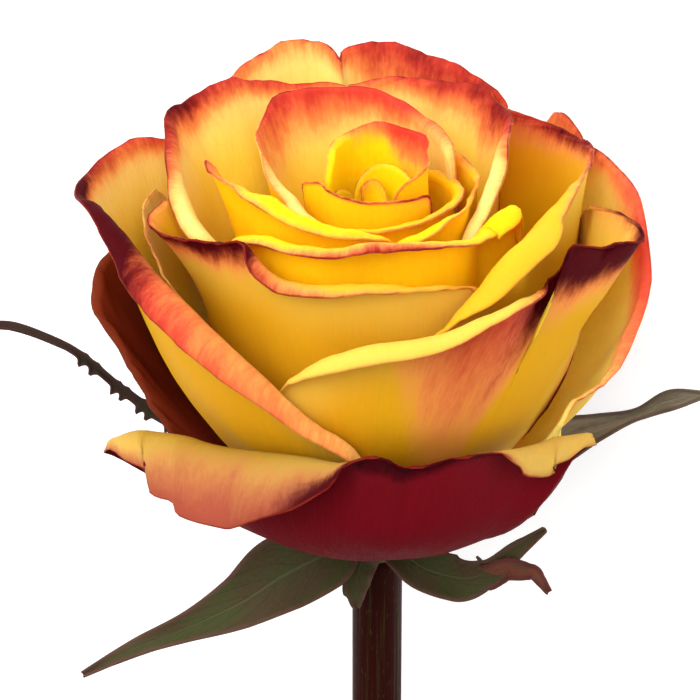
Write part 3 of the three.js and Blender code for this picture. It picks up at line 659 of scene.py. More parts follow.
@dataclass(frozen=True)
class CaneFinish:
    """The look of the stem and hip: smooth bark, flushed dark near the bloom, with fine ribs.

    Attributes:
        name: The material's name.
        flushed: Colour near the bloom.
        green: Colour further down.
        ribs: How fine the ribs are round it.
        speck: Colour of the specks.
        tip: Colour of the prickles' tips.
    """

    name: str
    flushed: Colour = (0.021, 0.003, 0.002)
    green: Colour = (0.075, 0.12, 0.032)
    ribs: float = 26.0
    speck: Colour = (0.16, 0.12, 0.05)
    tip: Colour = (0.22, 0.055, 0.03)

    def material(self) -> bpy.types.Material:
        """Makes the material.

        Returns:
            The material of the bark.
        """
        kit = NodeKit(self.name)
        along, around = kit.track("rise"), kit.track("fan")
        tip, flush = kit.track("blush"), kit.track("dusk")
        grain = kit.noise(kit.vector(kit.times(around, self.ribs), kit.times(along, 9.0), 0.0), 1.0, 4.0)
        specks = kit.noise(kit.vector(kit.times(around, 40.0), kit.times(along, 160.0), 0.0), 1.0, 2.0)
        worn = kit.plus(flush, kit.ease(grain, 0.3, 0.7, -0.25, 0.25))
        colour = kit.blend(kit.ease(worn, 0.1, 0.9), self.green, self.flushed)
        colour = kit.blend(kit.ease(specks, 0.62, 0.72, 0.0, 0.16), colour, self.speck)
        colour = kit.blend(kit.ease(tip, 0.15, 0.9), colour, self.tip)
        kit.link(colour, kit.surface.inputs["Base Color"])
        kit.link(kit.bump(grain, 0.5, 0.00018), kit.surface.inputs["Normal"])
        kit.link(kit.ease(grain, 0.3, 0.7, 0.33, 0.52), kit.surface.inputs["Roughness"])
        kit.set(Specular_IOR_Level=0.02)
        return kit.material


@dataclass(frozen=True)
class PetalForm:
    """The shape of one petal.

    Attributes:
        node: The CAD node that it stands for.
        level: Place of the claw on the seat, 0 at its top and 1 at its foot.
        swell: Radius of the cup that the petal follows.
        face: Azimuth of the claw's middle, in degrees.
        hold: Half width of the claw, in degrees.
        rim: Points along the edge: azimuth, radius, height, length and bend of the rolled lip.
        shape: Height at which the cup is full, and how fast it fills.
        flare: Where the petal starts to leave the cup for its rim, and how sharply.
        curl: How early along the lip it bends.
        swing: How late the petal turns to its rim, or zero if it fans out early.
    """

    node: str
    level: float
    swell: float
    face: float
    hold: float
    rim: tuple[tuple[float, ...], ...]
    shape: tuple[float, float] = (40.0, 0.8)
    flare: tuple[float, float] = (0.45, 2.0)
    curl: float = 1.0
    swing: float = 0.0

    def rim_curves(self) -> list[Callable[[np.ndarray], np.ndarray]]:
        """Makes smooth curves of the rim's values.

        Returns:
            The curves of azimuth, radius, height, lip length and lip bend.
        """
        rim = np.array(self.rim, dtype=float)
        knots = knots_along(polar(rim[:, 0], rim[:, 1], rim[:, 2]))
        return [curve_through(knots, rim[:, i]) for i in range(rim.shape[1])]

    def foot(self) -> float:
        """Returns the height of the claw on the seat."""
        return SEAT_TOP * (1 - self.level)

    def cup(self, z: np.ndarray) -> np.ndarray:
        """Works out how wide the cup is.

        Args:
            z: Heights in the bloom's frame.

        Returns:
            The cup's radius at each height.
        """
        foot = self.foot()
        start = SEAT_NECK + SEAT_SLOPE * self.level
        t = np.clip((z - foot) / (self.shape[0] - foot), 0.0, 1.0)
        return start + (self.swell - start) * np.sin(t * math.pi / 2) ** self.shape[1]

    def blade(self, u: np.ndarray, v: np.ndarray) -> np.ndarray:
        """Returns points of the petal below its lip.

        Args:
            u: Place along the rim, 0 to 1.
            v: Place from claw to rim, 0 to 1.

        Returns:
            Rows by columns of points in the bloom's frame.
        """
        azimuth, radius, height = (curve(u)[None, :] for curve in self.rim_curves()[:3])
        u, v = u[None, :], v[:, None]
        claw = self.face + self.hold * (2 * u - 1)
        turned = v ** self.swing if self.swing else 1 - (1 - v) ** FAN_OUT
        turn = claw + (azimuth - claw) * turned
        foot = self.foot()
        z = foot + (height - foot) * v ** CLIMB
        start, sharp = self.flare
        leave = np.clip((v - start) / (1 - start), 0.0, 1.0) ** sharp
        return polar(turn, self.cup(z) + (radius - self.cup(height)) * leave, z)

    def lip(self, u: np.ndarray, w: np.ndarray) -> np.ndarray:
        """Rolls the lip over from the rim.

        Args:
            u: Place along the rim, 0 to 1.
            w: Place from the rim to the free edge, 0 to 1.

        Returns:
            Rows by columns of points in the bloom's frame.
        """
        step = 0.002
        rows = self.blade(u, np.array([1 - step, 1.0]))
        rise = unit(rows[1] - rows[0])
        ahead = self.blade(np.minimum(u + step, 1), np.array([1.0]))[0]
        behind = self.blade(np.maximum(u - step, 0), np.array([1.0]))[0]
        out = unit(np.cross(ahead - behind, rise))
        curves = self.rim_curves()
        length, bend = curves[3](u), np.radians(curves[4](u))
        parts = 24
        middle = (np.arange(parts) + 0.5)[None, :, None] / parts
        angle = bend * (1 - (1 - w[:, None, None] * middle) ** self.curl)
        up = np.cos(angle).mean(axis=1) * w[:, None]
        over = np.sin(angle).mean(axis=1) * w[:, None]
        base = rows[1][None]
        return base + (length * up)[..., None] * rise + (length * over)[..., None] * out


# Azimuth in degrees, reach of the red below the edge in millimetres, redness and darkness; the darkness is
# partly the margin's own deep crimson and partly painted shade under folds and rolled lips
Station = tuple[float, float, float, float]


@dataclass(frozen=True)
class PetalTint:
    """Where a petal is washed with red.

    Attributes:
        inner: Stations of the inner face.
        outer: The same for the outer face.
        wash: The outer face's ground colour.
        lining: The inner face's ground colour.
        ruffle: Height of the fine waves along the edge, in millimetres.
        creases: Azimuths of the sharp folds that run down from the edge.
    """

    inner: tuple[Station, ...]
    outer: tuple[Station, ...]
    wash: Wash = Wash.BUFF
    lining: Wash = Wash.STRAW
    ruffle: float = 0.22
    creases: tuple[float, ...] = ()


# The petals, from the heart outwards
PETALS: tuple[PetalForm, ...] = (
    PetalForm("petal_01_core", level=0.0, swell=1.9, face=100, hold=60, rim=(
        (10, 1.8, 30, 0.5, 20), (40, 2, 52, 0.5, 20), (110, 2.4, 57.5, 0.5, 20), (170, 2.4, 57, 0.5, 20),
        (215, 2, 52, 0.5, 20), (240, 1.8, 30, 0.5, 20))),
    PetalForm("petal_02_core", level=0.042, swell=3.1, face=250, hold=55, rim=(
        (165, 3, 30, 0.6, 30), (190, 3.4, 52, 0.6, 30), (240, 3.8, 55.5, 0.6, 30), (290, 4, 56, 0.6, 30),
        (330, 3.8, 54, 0.6, 30), (355, 3.2, 32, 0.6, 30))),
    PetalForm("petal_03_core", level=0.083, swell=4.3, face=60, hold=55, rim=(
        (-30, 4.2, 30, 0.8, 40), (-18, 4.4, 53, 0.8, 40), (30, 5, 57.5, 0.8, 40), (80, 5, 58.2, 0.8, 40),
        (130, 4.8, 55, 0.8, 40), (150, 4.2, 32, 0.8, 40))),
    PetalForm("petal_04_core", level=0.125, swell=5.6, face=200, hold=50, rim=(
        (110, 5.4, 32, 0.8, 40), (130, 5.6, 53, 0.8, 40), (175, 6, 56, 0.8, 40),
        (225, 6.2, 56.5, 0.8, 40), (270, 6, 55, 0.8, 40), (290, 5.6, 32, 0.8, 40))),
    PetalForm("petal_05_inner_cup", level=0.167, swell=7.2, face=50, hold=50, rim=(
        (-84, 8, 42, 1, 40), (-75, 8.5, 60.5, 1, 40), (-54, 8.3, 63, 1, 40), (6, 6.9, 62.2, 1, 30),
        (32, 8.1, 63.1, 1, 30), (61.5, 7.9, 62.8, 1, 40), (90.5, 8, 63.4, 1, 40),
        (126.5, 7.6, 62.3, 1.2, 60), (176, 6.5, 62.8, 1.5, 90), (200, 7.8, 57, 1, 60),
        (215, 7.2, 34, 1, 40))),
    PetalForm("petal_06_inner_front", level=0.208, swell=8.8, face=265, hold=45, rim=(
        (162, 9.3, 38, 0.8, 40), (182, 10.8, 58.2, 0.8, 40), (205, 8.9, 60.2, 0.8, 40),
        (225.5, 9.2, 60.3, 0.8, 40), (245.5, 9.7, 60.7, 0.8, 40), (275, 10, 60.9, 0.8, 40),
        (317, 9.5, 59.9, 0.8, 40), (335, 9.4, 40, 0.8, 40))),
    PetalForm("petal_07_inner_right", level=0.25, swell=10.6, face=-40, hold=42, rim=(
        (-122, 11.3, 36, 1, 60), (-108.5, 11.5, 56.4, 2, 90), (-82.5, 11.5, 57.4, 2.2, 110),
        (-51.5, 11.3, 57.8, 2.2, 110), (-28, 11.3, 57.7, 2.2, 110), (2, 10.9, 56.6, 2.2, 110),
        (22, 10.1, 56.1, 2.2, 110), (46, 9.2, 55.3, 1.8, 110), (48, 10.6, 36, 1, 60))),
    PetalForm("petal_08_inner_back", level=0.292, swell=12.8, face=100, hold=50, flare=(0.4, 2), rim=(
        (8, 12.6, 36, 1, 60), (22, 10.8, 61, 1.6, 100), (58.5, 13.9, 60.2, 2.2, 110),
        (81.5, 17.6, 61.3, 1.5, 80), (93.5, 20.7, 62, 0.8, 40), (107, 21.7, 62.1, 0.8, 40),
        (120, 22.9, 62.2, 0.8, 40), (128, 24.2, 61.8, 0.8, 40), (139, 22.2, 60.5, 0.8, 40),
        (160, 18.6, 61.2, 0.8, 40), (168, 16.8, 59.9, 1.2, 70), (184, 14.4, 58.7, 2.5, 110),
        (203, 12.3, 57, 3, 130), (239.5, 12.7, 56.2, 3, 130), (238, 13.4, 36, 2, 90))),
    PetalForm("petal_09_mid_right", level=0.333, swell=14.6, face=-25, hold=40, rim=(
        (-108, 14.8, 36, 1, 60), (-79, 14.9, 56.6, 3.5, 120), (-62, 14.7, 57.9, 3.5, 120),
        (-41.5, 15.3, 59.3, 1.5, 80), (-12, 13.7, 57.9, 1.2, 60), (8, 14.5, 57.5, 1.2, 60),
        (31, 13.6, 57.8, 1.5, 80), (56, 14.5, 57.1, 1.2, 80), (56, 14.8, 36, 1, 60))),
    PetalForm("petal_10_mid_left", level=0.375, swell=17, face=222, hold=42, flare=(0.5, 2), rim=(
        (150, 17.4, 36, 2, 90), (178, 24.7, 60.8, 1.2, 60), (193, 19.8, 59.6, 2.6, 110),
        (214.5, 17.7, 61, 4.5, 150), (231.5, 17.5, 60.5, 4, 150), (254.5, 17.8, 60.5, 3.5, 140),
        (272.5, 17.8, 59.9, 1.5, 110), (286, 16.8, 36, 0.5, 40))),
    PetalForm("petal_11_back_right", level=0.458, swell=18.6, face=40, hold=42, rim=(
        (-50, 18.6, 40, 1.5, 60), (-42, 16.2, 54.4, 3, 120), (-22, 15.4, 57, 3.6, 125),
        (2, 16.4, 59.4, 3.6, 120), (20, 19, 61.2, 2.2, 80), (51.5, 28.2, 58.4, 1, 40),
        (58, 28.9, 59.9, 1.2, 60), (71, 27.9, 59.4, 1.2, 60), (83, 27.1, 60.1, 1, 50),
        (90.5, 26.6, 59.8, 1, 50), (102.5, 24.6, 59.6, 1, 50), (120, 19.8, 36, 1, 50))),
    PetalForm("petal_12_mid_front", level=0.417, swell=20.8, face=-102, hold=42, flare=(0.5, 2), rim=(
        (-170, 21, 34, 1, 80), (-150.5, 22, 55, 3.5, 140), (-129, 22.1, 58.8, 3.5, 150),
        (-112.5, 21.6, 59, 3.5, 140), (-91.5, 19.6, 58.9, 5, 120), (-70, 20.7, 59.6, 3.5, 120),
        (-55.5, 21.2, 58.7, 3, 120), (-38, 18.1, 55.8, 6, 150), (-29, 19.1, 57.4, 6.5, 150),
        (-22, 20.2, 58.1, 4.5, 140), (-16, 21.5, 48, 0.8, 60), (-14, 20.6, 34, 0.8, 40))),
    PetalForm("petal_13_back_left", level=0.5, swell=22.4, face=150, hold=45, rim=(
        (84, 22.4, 36, 1, 50), (102, 27.1, 59.1, 1, 50), (114, 28.6, 59.3, 1, 50),
        (125.5, 30.5, 60.7, 1, 60), (133, 31.2, 61.9, 1.4, 70), (140, 33.2, 61.2, 1.4, 70),
        (145.5, 34.7, 59.9, 1, 40), (150, 34.8, 60.2, 1.5, 60), (159.5, 32, 58.5, 2, 80),
        (174, 29.3, 57.8, 2.5, 90), (187, 27.4, 55.8, 4, 120), (199, 26, 54.4, 4.5, 130),
        (206, 24, 50.7, 3.5, 120), (222, 22.6, 34, 1, 60))),
    PetalForm("petal_14_front", level=0.542, swell=24.6, face=-98, hold=44, flare=(0.5, 3.5), rim=(
        (-166, 25.2, 36, 1, 60), (-179, 28.5, 55.2, 1.2, 60), (-175, 30.9, 56.3, 1, 60),
        (-170, 33.6, 55.7, 0.8, 50), (-165, 32.6, 54.9, 0.8, 50), (-158, 30.7, 56, 0.8, 50),
        (-150, 28.4, 56.9, 0.8, 50), (-139, 26.1, 58.4, 1.2, 60), (-130, 25.5, 55.8, 4, 150),
        (-122, 24.7, 54, 4.5, 155), (-106.5, 24.3, 54.7, 4.3, 155), (-93, 24.1, 55.5, 3.4, 150),
        (-73, 24.7, 55.1, 1.6, 120), (-55.5, 25, 52.7, 0.8, 80), (-50, 24.2, 34, 0.5, 40))),
    PetalForm("petal_15_back", level=0.583, swell=26.8, face=98, hold=48, flare=(0.5, 2), rim=(
        (50, 28.5, 38, 1, 50), (51.5, 30.4, 56.6, 1.2, 60), (60.5, 31.9, 58.6, 1.2, 60),
        (69.5, 32.4, 60.2, 1.2, 60), (79.5, 33.9, 60.6, 1.2, 60), (88, 34.9, 61.6, 1.2, 60),
        (91.5, 34.4, 61.6, 1.2, 60), (98.5, 33.1, 61.5, 1, 50), (100, 31.7, 60.2, 1, 30),
        (102.5, 34.1, 61.5, 1, 50), (106, 35.9, 62, 1.2, 60), (112, 36.4, 62.2, 1.2, 60),
        (120.5, 35.9, 61, 1.2, 60), (129, 34.9, 59.5, 1.2, 60), (150, 31, 38, 1, 50))),
    PetalForm("petal_16_right", level=0.625, swell=28.6, face=5, hold=46, rim=(
        (-108, 27.8, 34, 1, 60), (-72, 27.1, 48.2, 2, 90), (-64.5, 26.6, 50.8, 4.5, 130),
        (-58, 26.3, 52.7, 6.5, 150), (-49.5, 25.9, 54.9, 8, 150), (-41.5, 25.9, 56.2, 8.5, 140),
        (-26, 24.5, 55.2, 8, 120), (-10, 26.7, 57.2, 5, 90), (4, 30, 58.2, 2, 50),
        (13, 32.1, 57.9, 1, 50), (23, 33.9, 56.6, 1, 50), (33, 35.1, 54.3, 1, 50),
        (44, 35.6, 53.3, 1, 50), (49.5, 34.9, 53, 1.2, 60), (54.5, 33.9, 53.8, 1.2, 60),
        (68, 30.5, 38, 1, 50))),
    PetalForm("petal_17_left", level=0.667, swell=28.3, face=190, hold=38, flare=(0.5, 2), rim=(
        (155, 31, 38, 0.6, 20), (166, 34, 52, 0.6, 20), (180, 34.5, 53, 0.6, 20), (200, 33, 49, 0.6, 20),
        (220, 31, 44, 0.6, 20), (236, 28.8, 34, 0.6, 20))),
    PetalForm("petal_18_front_right", level=0.708, swell=30.6, face=-75, hold=35,
              flare=(0.45, 5), swing=4, rim=(
        (-128, 26.2, 20, 0.4, 30), (-116.5, 30.2, 39.5, 1.4, 100), (-111, 30, 42.6, 3.5, 140),
        (-101, 29.9, 46.1, 6, 160), (-90, 30, 48.5, 6.5, 165), (-77.5, 30.4, 49.7, 6, 160),
        (-67, 30.7, 51.2, 5, 150), (-58.5, 31.4, 52.7, 3.5, 140), (-51, 31.8, 53.5, 2.5, 120),
        (-34, 28.7, 50.2, 1.2, 80), (-29, 30.4, 52.5, 0.8, 50), (-25, 30.9, 55.3, 0.6, 40),
        (-18, 34, 53.7, 0.6, 40), (-13, 36.1, 53, 0.6, 40), (-7, 38.9, 51.7, 0.6, 40),
        (-2, 38.1, 51.8, 0.8, 50), (3, 35.7, 51.6, 1, 60), (9, 31.9, 51.1, 1, 60), (14, 30, 42, 0.8, 40))),
    PetalForm("petal_19_outer_left", level=0.75, swell=32.2, face=195, hold=46, rim=(
        (132, 33, 36, 1, 50), (152, 35.3, 55.2, 1.2, 50), (159, 39.1, 56.5, 1.2, 50),
        (170, 42.3, 56, 1.2, 50), (180, 43.7, 56.7, 1.2, 70), (188, 41.1, 57.6, 2.5, 110),
        (196, 37.8, 55, 5, 130), (205, 35, 50.9, 8, 150), (218.5, 33.2, 47.6, 9, 160),
        (233.5, 32.4, 43.3, 8.5, 160), (249.5, 31.7, 37.1, 6, 150), (265.5, 30.6, 29, 3, 120),
        (252, 31, 15, 1, 60))),
    PetalForm("petal_20_outer_right", level=0.792, swell=33.8, face=10, hold=30, flare=(0.4, 2), rim=(
        (-31, 30.5, 20, 0.6, 40), (-33.5, 32, 27.5, 0.8, 50), (-28, 32.1, 29.6, 1.0, 60),
        (-19, 35, 31.2, 1.5, 60), (-10, 37, 36.1, 2.5, 70), (-2, 39.1, 42.7, 2, 60),
        (10, 38.9, 50.7, 1.2, 50), (22, 36.8, 53.3, 1.2, 50), (30, 36.6, 52.8, 1.2, 50),
        (42, 34.5, 38, 1, 50))),
    PetalForm("petal_21_far_left", level=0.833, swell=34.6, face=172, hold=44, flare=(0.4, 2), rim=(
        (128, 34.8, 34, 1, 50), (145, 37.5, 42, 1.2, 60), (158, 39, 45, 1.2, 60),
        (169, 39.4, 42.4, 1.2, 60), (175, 40.9, 41.2, 1.5, 60), (180, 41.2, 37.6, 2, 60),
        (186, 37.8, 32, 1.5, 60), (192, 34, 24.4, 1.2, 60), (196, 31.8, 19.8, 1, 50),
        (200, 32, 14, 1, 50))),
    PetalForm("petal_22_front_guard", level=0.875, swell=34.6, face=-98, hold=44,
              shape=(22, 0.66), flare=(0.5, 2), curl=2.5, swing=2, rim=(
        (-155, 33, 14, 0.8, 50), (-156.5, 42.4, 24.3, 3, 112), (-155, 41, 24.7, 6, 126),
        (-153.5, 39.7, 25, 9.5, 142), (-150, 37.1, 25.1, 14, 152), (-144.5, 35.1, 25.5, 16, 155),
        (-137, 33.3, 25.6, 18, 155), (-120, 32.2, 27.3, 18.5, 155), (-107.5, 33.2, 29.8, 12.5, 150),
        (-98, 34.1, 30.8, 5, 120), (-91, 35.8, 33.9, 0.8, 30), (-83, 35.2, 31, 1, 30),
        (-72.5, 35.3, 32.1, 0.8, 30), (-63.5, 34.4, 31.1, 1.2, 60), (-53.5, 33.3, 28.9, 6, 160),
        (-44.5, 33.4, 27.9, 7.5, 165), (-38.5, 35.1, 27.8, 6.5, 165), (-34.5, 37, 27.9, 3, 140),
        (-37, 35.5, 24.5, 0.8, 50), (-45, 32, 15, 0.5, 30))),
    PetalForm("petal_23_guard_back_left", level=0.917, swell=35.4, face=128, hold=44,
              shape=(30, 0.75), rim=(
        (78, 35.4, 14, 1, 50), (88, 36.6, 36, 2, 80), (105, 38.5, 46, 3, 90), (125, 40, 48, 3, 90),
        (145, 39.5, 44, 3, 90), (158, 37.5, 34, 2, 80), (165, 35.4, 14, 1, 50))),
    PetalForm("petal_24_guard_back_right", level=0.958, swell=36.6, face=52, hold=42,
              shape=(30, 0.75), rim=(
        (24, 37, 16, 1, 50), (33, 40, 40, 2, 80), (47.5, 41.2, 51.8, 1, 40), (55, 41.5, 46, 3, 90),
        (68, 41.2, 43, 3, 90), (82, 39.2, 34, 2, 80), (90, 36.6, 14, 1, 50))),
    PetalForm("petal_25_guard_back", level=1.0, swell=38, face=92, hold=40, shape=(22, 0.72), rim=(
        (45, 38, 8, 1, 50), (55, 40, 22, 3, 80), (72, 41.5, 33, 5, 100), (92, 42, 36, 5, 110),
        (110, 41.5, 33, 5, 100), (128, 40, 22, 3, 80), (140, 38, 8, 1, 50))),
)

